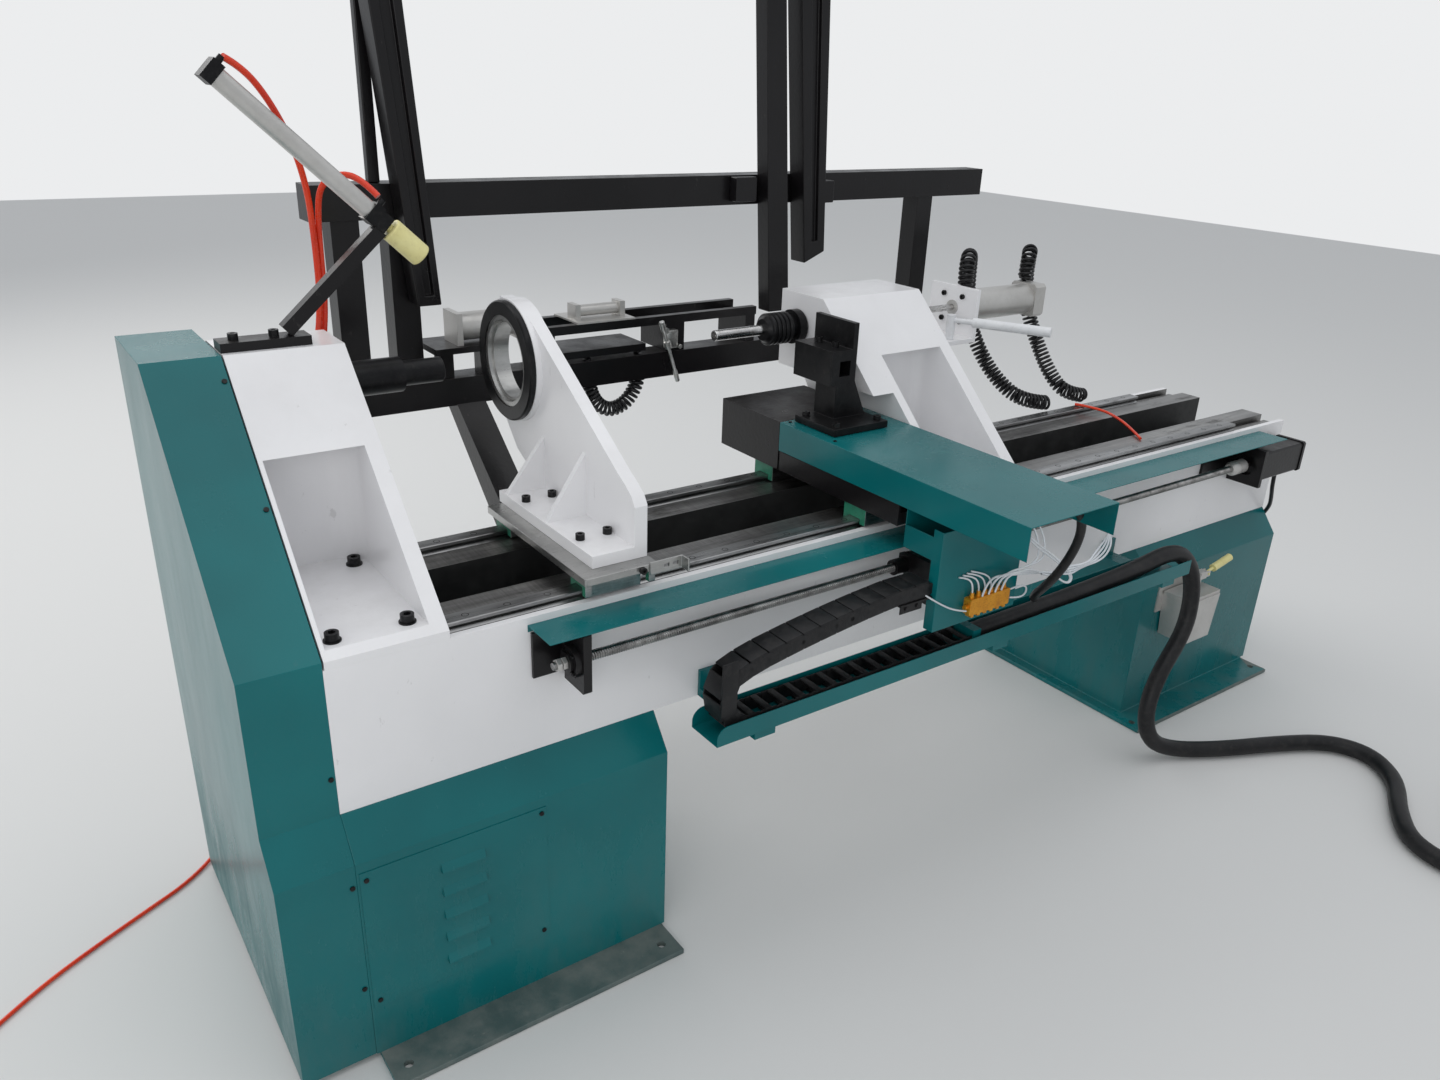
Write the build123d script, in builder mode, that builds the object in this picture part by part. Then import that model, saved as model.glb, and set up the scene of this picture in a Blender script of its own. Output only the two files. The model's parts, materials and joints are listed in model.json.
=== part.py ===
from build123d import *
import math
import os

os.makedirs("parts", exist_ok=True)

# Driving sizes, in mm. X runs from headstock to tailstock, Y to the back, Z up.
# The origin is on the floor, under the left pedestal's middle.

# Bed
bed_left = -311.0
bed_right = 2547.0
bed_top = 794.0
bed_bottom = 515.0
beam_inner = 73.0
beam_outer = 208.0
beam_wall = 12.0
lip_inner = 193.0
flat_outer = 137.0
groove_floor = 771.0

# Guide rails and runner blocks
rail_y = 165.0
rail_width = 34.0
rail_seat = 779.0
rail_top = 808.0
rail_left = -90.0
rail_right = 2326.0
rail_side_gap = 0.5
block_width = 70.0
block_length = 112.0
block_bottom = 797.0
block_top = 835.0

# Line of centres
axis_y = 300.0
axis_z = 1122.0

# Slope shared by the headstock, tailstock and end cover
slope_rise = 0.9363
slope_foot_y = 10.0 - beam_outer
slope_foot_z = 818.0
head_top = 1213.0
head_rear = 372.0
foot_thick = 28.0

# Headstock bolts
head_bolt_spots = [(-280, -167), (-153, -166), (-153, 109), (-280, 109)]

# Pedestals
pedestal_front = 263.0
pedestal_bend = 445.0
pedestal_wall = 6.0
left_ped_x0 = -311.0
left_ped_x1 = 317.0
right_ped_x0 = 1900.0
right_ped_x1 = 2547.0
plate_thick = 12.0
plate_front = 352.0

# End cover
cover_x0 = -443.0
cover_x1 = -311.0
cover_rear = 458.0
cover_bottom = 14.0
sheet = 2.0

# Headstock
head_left = -308.0
head_right = -96.0
head_web = 30.0

# Spindle
spindle_body_r = 35.0
spindle_nose_r = 25.0
spindle_seam = 30.0
spindle_end = 116.0
running_gap = 0.05

# Steady rest
rest_plate_x0 = 155.0
rest_plate_x1 = 310.0
rest_plate_thick = 15.0
rest_foot_x0 = 189.0
rest_foot_x1 = 307.0
rest_web = 28.0
rest_boss = 12.0
ring_outer_r = 126.0
ring_bore_r = 88.0

# Lead screw
screw_y = -beam_outer - 49.0
screw_z = 712.0
screw_r = 10.0
screw_left = 70.0
screw_right = 2204.0
motor_x = screw_right + 100.0

# Carriage
saddle_x0 = 853.0
saddle_x1 = 1113.0
saddle_rear = 335.0
saddle_front = -300.0
saddle_bottom = block_top
saddle_top = 883.0
cover_top = 953.0
cover_joint = 105.0
slide_cover_front = -640.0
slide_gap = 0.5

# Tailstock
tail_x0 = 1116.0
tail_x1 = 1374.0
tail_head_left = 1052.0
tail_left_web = 24.0
tail_right_web = 36.0
quill_r = 13.0
quill_tip = 794.0

# Tray and drag chain
tray_x0 = 330.0
tray_x1 = 1840.0
tray_front = -410.0
tray_back = -325.0
tray_floor = 534.0
tray_wall_top = 573.0
chain_y = -367.0
chain_seat = 706.0
link_pitch = 42.0
link_h = 36.0
anchor_x = 1030.3

low = (Align.CENTER, Align.CENTER, Align.MIN)
corner = (Align.MIN, Align.MIN, Align.MIN)
end_low = (Align.MIN, Align.CENTER, Align.MIN)
high = (Align.CENTER, Align.CENTER, Align.MAX)


def slope_z(y):
    return slope_foot_z + slope_rise * (y - slope_foot_y)


def slope_y(z):
    return (z - slope_foot_z) / slope_rise + slope_foot_y


def outline(points, plane):
    with BuildSketch(plane) as face:
        with BuildLine():
            Polyline(*points, close=True)
        make_face()
    return face.sketch


def side_plane(x):
    return Plane.YZ.offset(x)


def front_plane(y):
    return Plane(origin=(0, y, 0), x_dir=(1, 0, 0), z_dir=(0, -1, 0))


def screws(spots, head_r, head_h, shank_r, shank_l, socket_r, plane_of=None):
    for spot in spots:
        base = Plane(origin=spot, z_dir=plane_of) if plane_of else Plane(origin=spot)
        with Locations(base.location):
            Cylinder(shank_r, shank_l, align=high)
            Cylinder(head_r, head_h, align=low)
        hexagon = [
            (socket_r * math.cos(math.radians(60 * k)), socket_r * math.sin(math.radians(60 * k)))
            for k in range(6)
        ]
        if socket_r > 0:
            extrude(outline(hexagon, base.offset(head_h)), amount=-head_h * 0.55, mode=Mode.SUBTRACT)


def save(piece, name):
    piece.label = name
    export_step(piece.part, "parts/" + name + ".step")
    print(name, len(piece.part.solids()), [round(v, 1) for v in piece.part.bounding_box().min],
          [round(v, 1) for v in piece.part.bounding_box().max])


def join(name, *pieces):
    with BuildPart() as whole:
        for piece in pieces:
            add(piece.part)
    save(whole, name)


# Pedestals: folded sheet boxes with sloped shoulders on floor plates
pedestal_outer = [
    (-pedestal_front, plate_thick),
    (-pedestal_front, pedestal_bend),
    (-beam_outer, bed_bottom),
    (beam_outer, bed_bottom),
    (pedestal_front, pedestal_bend),
    (pedestal_front, plate_thick),
]
pedestal_inner = [
    (-pedestal_front + pedestal_wall, plate_thick),
    (-pedestal_front + pedestal_wall, pedestal_bend - 3),
    (-beam_outer + 3, bed_bottom - pedestal_wall),
    (beam_outer - 3, bed_bottom - pedestal_wall),
    (pedestal_front - pedestal_wall, pedestal_bend - 3),
    (pedestal_front - pedestal_wall, plate_thick),
]
panel_x0 = -306.0
panel_x1 = 46.0
panel_z0 = 122.0
panel_z1 = 424.0
panel_thick = 1.5
louver_x0 = -163.0
louver_x1 = -80.0
louver_z = [372.0, 320.0, 268.0, 216.0, 164.0]
motor_y = 60.0
motor_z = 250.0

with BuildPart() as left_pedestal:
    extrude(outline(pedestal_outer, side_plane(left_ped_x0)), amount=left_ped_x1 - left_ped_x0)
    extrude(
        outline(pedestal_inner, side_plane(left_ped_x0 + pedestal_wall)),
        amount=left_ped_x1 - left_ped_x0 - 2 * pedestal_wall,
        mode=Mode.SUBTRACT,
    )
    with Locations((3, 0, 0)):
        Box(612, 2 * plate_front, plate_thick, align=low)
    with Locations((-270, -315, 0), (276, -315, 0), (-270, 315, 0), (276, 315, 0)):
        Cylinder(9, plate_thick, align=low, mode=Mode.SUBTRACT)
    with Locations(((panel_x0 + panel_x1) / 2, -pedestal_front, (panel_z0 + panel_z1) / 2)):
        Box(panel_x1 - panel_x0 - 44, 20, panel_z1 - panel_z0 - 44, mode=Mode.SUBTRACT)
    with Locations((left_ped_x0, motor_y, motor_z)):
        Cylinder(60, 20, rotation=(0, 90, 0), mode=Mode.SUBTRACT)
save(left_pedestal, "left_pedestal")

with BuildPart() as right_pedestal:
    extrude(outline(pedestal_outer, side_plane(right_ped_x0)), amount=right_ped_x1 - right_ped_x0)
    extrude(
        outline(pedestal_inner, side_plane(right_ped_x0 + pedestal_wall)),
        amount=right_ped_x1 - right_ped_x0 - 2 * pedestal_wall,
        mode=Mode.SUBTRACT,
    )
    with Locations((2196, 0, 0)):
        Box(664, 2 * plate_front, plate_thick, align=low)
    with Locations((1884, -315, 0), (2500, -315, 0), (1884, 315, 0), (2500, 315, 0)):
        Cylinder(9, plate_thick, align=low, mode=Mode.SUBTRACT)
save(right_pedestal, "right_pedestal")

with BuildPart() as louver_panel:
    with Locations(((panel_x0 + panel_x1) / 2, -pedestal_front, (panel_z0 + panel_z1) / 2)):
        Box(
            panel_x1 - panel_x0,
            panel_thick,
            panel_z1 - panel_z0,
            align=(Align.CENTER, Align.MAX, Align.CENTER),
        )
    face_y = -pedestal_front - panel_thick
    for z in louver_z:
        hood = [
            (face_y + 0.5, z + 12),
            (face_y - 7, z - 4),
            (face_y - 7, z - 8),
            (face_y + 0.5, z + 6),
        ]
        extrude(outline(hood, side_plane(louver_x0)), amount=louver_x1 - louver_x0)
        for x in (louver_x0, louver_x1 - 1.5):
            cheek = [(face_y + 0.5, z + 12), (face_y - 7, z - 4), (face_y - 7, z - 8), (face_y + 0.5, z - 8)]
            extrude(outline(cheek, side_plane(x)), amount=1.5)
        with Locations(((louver_x0 + louver_x1) / 2, face_y + panel_thick / 2, z - 1)):
            Box(louver_x1 - louver_x0 - 6, panel_thick + 2, 12, mode=Mode.SUBTRACT)
save(louver_panel, "louver_panel")


# Bed: two box beams with lips, rail seats and machined flats, tied by cross members
def beam_outline(side):
    half = rail_width / 2
    points = [
        (beam_outer, bed_bottom),
        (beam_outer, bed_top),
        (lip_inner, bed_top),
        (lip_inner, groove_floor),
        (rail_y + half, groove_floor),
        (rail_y + half, rail_seat),
        (rail_y - half, rail_seat),
        (rail_y - half, groove_floor),
        (flat_outer, groove_floor),
        (flat_outer, bed_top),
        (beam_inner, bed_top),
        (beam_inner, bed_bottom),
    ]
    return [(side * y, z) for y, z in points]


beam_hollow = [
    (beam_outer - beam_wall, bed_bottom + beam_wall),
    (beam_outer - beam_wall, groove_floor - beam_wall),
    (beam_inner + beam_wall, groove_floor - beam_wall),
    (beam_inner + beam_wall, bed_bottom + beam_wall),
]
with BuildPart() as bed:
    for side in (-1, 1):
        extrude(outline(beam_outline(side), side_plane(bed_left)), amount=bed_right - bed_left)
        hollow = [(side * y, z) for y, z in beam_hollow]
        extrude(
            outline(hollow, side_plane(bed_left + 10)),
            amount=bed_right - bed_left - 20,
            mode=Mode.SUBTRACT,
        )
    for x in (-250, 290, 830, 1370, 1930, 2470):
        with Locations((x, 0, bed_bottom + 30)):
            Box(16, 2 * beam_inner + 2, 170, align=low)
    with Locations(*[(x, y, bed_top) for x, y in head_bolt_spots]):
        Cylinder(8.5, 34, align=high, mode=Mode.SUBTRACT)
save(bed, "bed")

with BuildPart() as guide_rails:
    for side in (-1, 1):
        half = rail_width / 2
        section = [
            (-half, rail_seat),
            (-half, rail_seat + 10),
            (-half + 5, rail_seat + 14),
            (-half + 5, rail_seat + 19),
            (-half, rail_seat + 22),
            (-half, rail_top - 1.5),
            (-half + 1.5, rail_top),
        ]
        ring = section + [(-y, z) for y, z in reversed(section)]
        shifted = [(side * rail_y + y, z) for y, z in ring]
        extrude(outline(shifted, side_plane(rail_left)), amount=rail_right - rail_left)
save(guide_rails, "guide_rails")

# Headstock casting: foot, webs and a head that leans back to the line of centres
head_profile = [
    (-beam_outer, bed_top),
    (-beam_outer, slope_z(-beam_outer)),
    (slope_y(head_top), head_top),
    (head_rear, head_top),
    (head_rear, 1012),
    (303, 925),
    (beam_outer, 862),
    (beam_outer, bed_top),
]
pocket_lip_y = 68.0
pocket_floor = bed_top + foot_thick


def pocket_points(lip_y, back):
    lip_z = slope_z(lip_y)
    return [
        (-260, pocket_floor),
        (back, pocket_floor),
        (back + 8, lip_z - 24),
        (lip_y + 30, lip_z - 2),
        (lip_y - 2, lip_z - 2),
        (-260, lip_z - 2),
    ]


with BuildPart() as headstock_casting:
    extrude(outline(head_profile, side_plane(head_left)), amount=head_right - head_left)
    pocket_x1 = head_right - head_web
    with BuildPart(mode=Mode.PRIVATE) as pocket:
        extrude(
            outline(pocket_points(pocket_lip_y, 150), side_plane(head_left + 8)),
            amount=pocket_x1 - head_left - 8,
        )
        uprights = pocket.edges().filter_by(
            lambda e: abs(e.center().X - pocket_x1) < 1 and e.center().Y > 120 and e.length > 100
        )
        fillet(uprights, 55)
    add(pocket.part, mode=Mode.SUBTRACT)
    with Locations((head_left, axis_y, axis_z)):
        Cylinder(
            52,
            (head_right - head_left),
            rotation=(0, 90, 0),
            align=(Align.CENTER, Align.CENTER, Align.MIN),
            mode=Mode.SUBTRACT,
        )
    with Locations(*[(x, y, bed_top) for x, y in head_bolt_spots]):
        Cylinder(8.5, foot_thick + 1, align=low, mode=Mode.SUBTRACT)
    top_edges = headstock_casting.edges().filter_by(Axis.X).filter_by(
        lambda e: abs(e.center().Z - head_top) < 1 and e.center().Y > 300
    )
    fillet(top_edges, 24)
save(headstock_casting, "headstock_casting")

with BuildPart() as headstock_bolts:
    screws([(x, y, pocket_floor) for x, y in head_bolt_spots], 12, 16, 8, 58, 7)
    with Locations(*[(x, y, pocket_floor) for x, y in head_bolt_spots]):
        Cylinder(15, 2.5, align=low)

# End cover: one folded shell, open towards the pedestal and the headstock
cover_profile = [
    (-pedestal_front, cover_bottom),
    (-pedestal_front, pedestal_bend),
    (-beam_outer, bed_bottom),
    (-beam_outer, slope_z(-beam_outer)),
    (slope_y(head_top), head_top),
    (cover_rear, head_top),
    (cover_rear, cover_bottom),
]


def inset(points, amount, plane):
    with BuildSketch(plane) as face:
        with BuildLine():
            Polyline(*points, close=True)
        make_face()
        offset(amount=-amount, kind=Kind.INTERSECTION)
    return face.sketch


with BuildPart() as end_cover:
    extrude(outline(cover_profile, side_plane(cover_x0)), amount=cover_x1 - cover_x0)
    extrude(
        inset(cover_profile, sheet, side_plane(cover_x0 + sheet)),
        amount=cover_x1 - cover_x0,
        mode=Mode.SUBTRACT,
    )
save(end_cover, "end_cover")

# Spindle with through bore
with BuildPart() as spindle:
    with BuildSketch(Plane.XZ) as half_section:
        with BuildLine():
            Polyline(
                (-430, 8),
                (-430, 22),
                (-322, 22),
                (-322, spindle_body_r),
                (spindle_seam - 1, spindle_body_r),
                (spindle_seam - 1, spindle_body_r - 1.2),
                (spindle_seam + 1, spindle_body_r - 1.2),
                (spindle_seam + 1, spindle_nose_r),
                (spindle_end - 2, spindle_nose_r),
                (spindle_end, spindle_nose_r - 2),
                (spindle_end, 14),
                (spindle_end - 60, 8),
                close=True,
            )
        make_face()
    revolve(axis=Axis.X)
spindle.part = spindle.part.moved(Location((0, axis_y, axis_z)))

with BuildPart() as spindle_bearings:
    for x in (-300, -160):
        with Locations((x, axis_y, axis_z)):
            Cylinder(52, 34, rotation=(0, 90, 0), align=low)
    with Locations((head_right, axis_y, axis_z)):
        Cylinder(49, 10, rotation=(0, 90, 0), align=high)
    with Locations((head_left, axis_y, axis_z)):
        Cylinder(spindle_body_r + running_gap, 900, rotation=(0, 90, 0), mode=Mode.SUBTRACT)
save(spindle_bearings, "spindle_bearings")

pulley_x = -405.0
pulley_width = 44.0
spindle_pulley_r = 78.0
motor_pulley_r = 48.0


def pulley_points(radius, bore):
    x0 = pulley_x - pulley_width / 2
    points = [(x0, bore), (x0, radius), (x0 + 4, radius)]
    for k in range(3):
        start = x0 + 4 + 12.5 * k
        points += [(start + 3, radius - 9), (start + 8.5, radius - 9), (start + 11.5, radius)]
    points += [(x0 + pulley_width, radius), (x0 + pulley_width, bore)]
    return points


with BuildPart() as spindle_pulley:
    with BuildSketch(Plane.XZ):
        with BuildLine():
            Polyline(*pulley_points(spindle_pulley_r, 22), close=True)
        make_face()
    revolve(axis=Axis.X)
spindle_pulley.part = spindle_pulley.part.moved(Location((0, axis_y, axis_z)))

with BuildPart() as motor_pulley:
    with BuildSketch(Plane.XZ):
        with BuildLine():
            Polyline(*pulley_points(motor_pulley_r, 14), close=True)
        make_face()
    revolve(axis=Axis.X)
    with Locations((-425, 0, 0)):
        Cylinder(14, 150, rotation=(0, 90, 0), align=low)
motor_pulley.part = motor_pulley.part.moved(Location((0, motor_y, motor_z)))
save(motor_pulley, "motor_pulley")



def belt_sketch(extra, x):
    with BuildSketch(side_plane(x)) as loop:
        with Locations((axis_y, axis_z)):
            Circle(spindle_pulley_r - 7 + extra)
        with Locations((motor_y, motor_z)):
            Circle(motor_pulley_r - 7 + extra)
        make_hull()
    return loop.sketch


with BuildPart() as drive_belts:
    for k in range(3):
        x = pulley_x - pulley_width / 2 + 4 + 12.5 * k + 3.2
        extrude(belt_sketch(9, x), amount=5.1)
        extrude(belt_sketch(0, x), amount=5.1, mode=Mode.SUBTRACT)
save(drive_belts, "drive_belts")

with BuildPart() as spindle_motor:
    with Locations((-275, motor_y, motor_z)):
        Cylinder(85, 260, rotation=(0, 90, 0), align=low)
        Cylinder(45, 22, rotation=(0, 90, 0), align=high)
    with Locations((-140, motor_y, motor_z - 60)):
        Box(180, 190, 70, align=high)
    with Locations((-140, motor_y, motor_z + 75)):
        Box(90, 80, 50, align=low)
    for k in range(18):
        angle = 20 * k + 10
        with Locations(
            (-150, motor_y + 88 * math.cos(math.radians(angle)), motor_z + 88 * math.sin(math.radians(angle)))
        ):
            Box(200, 3, 12, rotation=(angle - 90, 0, 0))
    with Locations((-300, motor_y, motor_z)):
        Cylinder(14 + running_gap + 0.25, 100, rotation=(0, 90, 0), mode=Mode.SUBTRACT)
    with Locations((-140, motor_y, plate_thick)):
        Box(200, 240, motor_z - 130 - plate_thick, align=low)
    with Locations((-140, motor_y, plate_thick)):
        Box(220, 220, motor_z - 142 - plate_thick, align=low, mode=Mode.SUBTRACT)
save(spindle_motor, "spindle_motor")

# Small screws of the panel, the end cover and the chip strip
slope_dir = (0, -math.sin(math.atan(slope_rise)), math.cos(math.atan(slope_rise)))
with BuildPart() as cover_screws:
    panel_face = -pedestal_front - panel_thick
    screws(
        [(-295, panel_face, 407), (-294, panel_face, 137), (36, panel_face, 412), (33, panel_face, 135)],
        4.5, 2.4, 2, 6, 0, (0, -1, 0),
    )
    screws(
        [(-319, -pedestal_front, 175), (-319, -pedestal_front, 400), (-319, -beam_outer, 589)],
        4.5, 2.4, 2, 4, 0, (0, -1, 0),
    )
    screws([(-319, y, slope_z(y)) for y in (-1, 185)], 4.5, 2.4, 2, 4, 0, slope_dir)

# Steady rest
rest_base = block_top + rest_plate_thick
rest_foot_top = rest_base + 25.0
with BuildPart() as rest_plate:
    with Locations(((rest_plate_x0 + rest_plate_x1) / 2, -16.5, block_top)):
        Box(rest_plate_x1 - rest_plate_x0, 423, rest_plate_thick, align=low)
    chamfer(rest_plate.edges().filter_by(Axis.Z), 3)

rest_bolts = [(209, -110), (268, -110), (209, 120), (268, 120)]
with BuildPart() as rest_casting:
    web_profile = [
        (-193, rest_base),
        (-193, 953),
        (-180, 972),
        (-158, 987),
        (-129, 1003),
        (axis_y - 52, 1240),
        (axis_y + 60, 1247),
        (axis_y + 128, 1120),
        (axis_y + 60, 985),
        (303, 925),
        (206, rest_foot_top + 4),
        (206, rest_base),
    ]
    extrude(outline(web_profile, side_plane(rest_foot_x1 - rest_web)), amount=rest_web)
    with Locations(((rest_foot_x0 + rest_foot_x1) / 2, 6.5, rest_base)):
        Box(rest_foot_x1 - rest_foot_x0, 399, 25, align=low)
    with Locations((rest_foot_x1, axis_y, axis_z)):
        Cylinder(ring_outer_r + 3, rest_web + rest_boss, rotation=(0, 90, 0), align=high)
    for y, rib_top in ((184, 988), (6, 1006)):
        rib = [
            (rest_foot_x1 - rest_web + 1, rest_foot_top - 1),
            (rest_foot_x0 + 2, rest_foot_top - 1),
            (rest_foot_x1 - rest_web + 1, rib_top),
        ]
        with BuildPart(mode=Mode.PRIVATE) as rib_part:
            extrude(outline(rib, Plane.XZ.offset(-y)), amount=12)
        add(rib_part.part)
    with Locations((rest_foot_x1, axis_y, axis_z)):
        Cylinder(ring_bore_r + 14, 300, rotation=(0, 90, 0), mode=Mode.SUBTRACT)
    with Locations(*[(x, y, rest_base) for x, y in rest_bolts]):
        Cylinder(6.5, 26, align=low, mode=Mode.SUBTRACT)
save(rest_casting, "rest_casting")

ring_front = 254.0
ring_back = rest_foot_x1 - rest_web - rest_boss
with BuildPart() as rest_ring:
    with BuildSketch(Plane.XZ):
        with BuildLine():
            Polyline(
                (ring_front, ring_bore_r + 8.05),
                (ring_front, ring_outer_r - 3),
                (ring_front + 3, ring_outer_r),
                (ring_back, ring_outer_r),
                (ring_back, ring_bore_r + 14),
                (rest_foot_x1 - 2, ring_bore_r + 14),
                (rest_foot_x1 - 2, ring_bore_r + 8.05),
                close=True,
            )
        make_face()
    revolve(axis=Axis.X)
rest_ring.part = rest_ring.part.moved(Location((0, axis_y, axis_z)))
save(rest_ring, "rest_ring")

with BuildPart() as rest_bearing:
    with BuildSketch(Plane.XZ):
        with BuildLine():
            Polyline(
                (ring_front + 3, ring_bore_r - 2),
                (ring_front + 3, ring_bore_r + 8),
                (rest_foot_x1 - 4, ring_bore_r + 8),
                (rest_foot_x1 - 4, ring_bore_r - 8),
                (ring_front + 14, ring_bore_r - 8),
                (ring_front + 14, ring_bore_r - 2),
                close=True,
            )
        make_face()
    revolve(axis=Axis.X)
rest_bearing.part = rest_bearing.part.moved(Location((0, axis_y, axis_z)))
save(rest_bearing, "rest_bearing")

with BuildPart() as rest_bolts_set:
    screws([(x, y, rest_foot_top) for x, y in rest_bolts], 9, 12, 6, 38, 5)
    screws([(275, -228, 842)], 7, 8, 4, 20, 3.5, (0, -1, 0))
save(rest_bolts_set, "rest_bolts")

with BuildPart() as rest_angle:
    with Locations((rest_plate_x1 - 20, -228, 829)):
        Box(40, 4, 26, align=(Align.MIN, Align.MAX, Align.MIN))
    with Locations((rest_plate_x1 + 4, -228, 829)):
        Box(50, 4, 26, align=(Align.MIN, Align.MAX, Align.MIN))
    with Locations((rest_plate_x1 + 50, -232, 829)):
        Box(4, 22, 26, align=(Align.MIN, Align.MAX, Align.MIN))
    for x in (rest_plate_x1 + 16, rest_plate_x1 + 36):
        with Locations((x, -230, 842)):
            Box(12, 12, 7, mode=Mode.SUBTRACT)

rest_block_x = (rest_plate_x0 + rest_plate_x1) / 2


def runner(x, y):
    with Locations((x, y, block_bottom)):
        Box(block_length, block_width, block_top - block_bottom, align=low)
    with Locations((x, y, block_bottom)):
        Box(
            block_length,
            rail_width + 2 * rail_side_gap,
            rail_top + rail_side_gap - block_bottom,
            align=low,
            mode=Mode.SUBTRACT,
        )


with BuildPart() as rest_runners:
    runner(rest_block_x, rail_y)
    runner(rest_block_x, -rail_y)

with BuildPart() as rest_clamps:
    for x in (rest_plate_x0 + 10, rest_plate_x1 - 10):
        with Locations((x, -216, block_top)):
            Box(14, 12, 24, align=high)

# Chip strip over the lead screw
with BuildPart() as chip_strip:
    with Locations((48, -beam_outer, 780)):
        Box(2369, 88, sheet, align=(Align.MIN, Align.MAX, Align.MAX))
    with Locations((48, -beam_outer, 780 - sheet)):
        Box(2369, sheet, 12, align=(Align.MIN, Align.MAX, Align.MAX))
save(chip_strip, "chip_strip")

with BuildPart() as screw_bracket:
    with Locations((53, -beam_outer, 672)):
        Box(79, 8, 92, align=(Align.MIN, Align.MAX, Align.MIN))
    with Locations((115, -beam_outer - 8, 655)):
        Box(17, 76, 122, align=(Align.MIN, Align.MAX, Align.MIN))
    with Locations((115, screw_y, screw_z)):
        Cylinder(24, 60, rotation=(0, 90, 0), mode=Mode.SUBTRACT)
    chamfer(screw_bracket.edges().filter_by(Axis.X).filter_by(
        lambda e: e.center().Y < -beam_outer - 72), 4)

with BuildPart() as screw_bearing:
    with BuildSketch(Plane.XZ):
        with BuildLine():
            Polyline(
                (97, 7.5 + running_gap),
                (97, 20),
                (103, 20),
                (103, 31),
                (115, 31),
                (115, 24),
                (132, 24),
                (132, 7.5 + running_gap),
                close=True,
            )
        make_face()
    revolve(axis=Axis.X)
screw_bearing.part = screw_bearing.part.moved(Location((0, screw_y, screw_z)))

with BuildPart() as bracket_screws:
    quarters = ((17, 17), (-17, 17), (17, -17), (-17, -17))
    spots = [(103, screw_y + y, screw_z + z) for y, z in quarters]
    screws(spots, 4, 4, 2.5, 20, 2, (-1, 0, 0))

with BuildPart() as ball_screw:
    with BuildSketch(Plane.XZ):
        with BuildLine():
            Polyline(
                (screw_left, 0),
                (screw_left, 7.5),
                (133, 7.5),
                (133, screw_r),
                (screw_right, screw_r),
                (screw_right, 8),
                (motor_x - 2, 8),
                (motor_x - 2, 0),
                close=True,
            )
        make_face()
    revolve(axis=Axis.X)
ball_screw.part = ball_screw.part.moved(Location((0, screw_y, screw_z)))

with BuildPart() as lock_nuts:
    for x in (77, 88):
        with BuildSketch(side_plane(x)):
            with Locations((screw_y, screw_z)):
                RegularPolygon(12.5, 6)
                Circle(7.5, mode=Mode.SUBTRACT)
        extrude(amount=9)

with BuildPart() as screw_coupling:
    with BuildSketch(Plane.XZ):
        with BuildLine():
            Polyline(
                (screw_right + 2, 8),
                (screw_right + 2, 15),
                (screw_right + 12, 20),
                (screw_right + 68, 20),
                (screw_right + 68, 8),
                close=True,
            )
        make_face()
    revolve(axis=Axis.X)
screw_coupling.part = screw_coupling.part.moved(Location((0, screw_y, screw_z)))

with BuildPart() as motor_bracket:
    with Locations((screw_right - 64, -beam_outer, 690)):
        Box(150, 8, 75, align=(Align.MIN, Align.MAX, Align.MIN))
    with Locations((screw_right + 86, -beam_outer, 655)):
        Box(14, 100, 110, align=(Align.MIN, Align.MAX, Align.MIN))
    with Locations((screw_right + 86, screw_y, screw_z)):
        Cylinder(30, 60, rotation=(0, 90, 0), mode=Mode.SUBTRACT)

with BuildPart() as feed_motor:
    with Locations((motor_x, screw_y, screw_z)):
        Box(9, 90, 90, align=(Align.MIN, Align.CENTER, Align.CENTER))
    with Locations((motor_x + 9, screw_y, screw_z)):
        Box(196, 84, 84, align=(Align.MIN, Align.CENTER, Align.CENTER))
    with Locations((motor_x + 205, screw_y, screw_z)):
        Box(12, 90, 90, align=(Align.MIN, Align.CENTER, Align.CENTER))
    chamfer(feed_motor.edges().filter_by(Axis.X), 5)
    with Locations((motor_x, screw_y, screw_z)):
        Cylinder(22, 4, rotation=(0, 90, 0), align=low, mode=Mode.SUBTRACT)
save(feed_motor, "feed_motor")

# Carriage
block_xs = (saddle_x0 + 62, saddle_x1 - 62)
with BuildPart() as carriage_runners:
    for x in block_xs:
        runner(x, rail_y)
        runner(x, -rail_y)
save(carriage_runners, "carriage_runners")

saddle_inset = 2.5
with BuildPart() as saddle:
    saddle_mid_y = (saddle_rear - sheet - 0.5 + saddle_front) / 2
    with Locations(((saddle_x0 + saddle_x1) / 2, saddle_mid_y, saddle_bottom)):
        Box(
            saddle_x1 - saddle_x0 - 2 * saddle_inset,
            saddle_rear - sheet - 0.5 - saddle_front,
            28,
            align=low,
        )
    for x in (saddle_x0 + saddle_inset, saddle_x1 - saddle_inset - 8):
        with Locations((x, saddle_front, saddle_bottom)):
            Box(8, saddle_rear - sheet - 0.5 - saddle_front, saddle_top - saddle_bottom - 1, align=corner)
    with Locations(((saddle_x0 + saddle_x1) / 2, saddle_front, saddle_bottom)):
        Box(150, 14, 96, align=(Align.CENTER, Align.MIN, Align.MIN))
    with Locations(((saddle_x0 + saddle_x1) / 2, saddle_front, 899)):
        Cylinder(24, 60, rotation=(90, 0, 0), mode=Mode.SUBTRACT)

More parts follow.
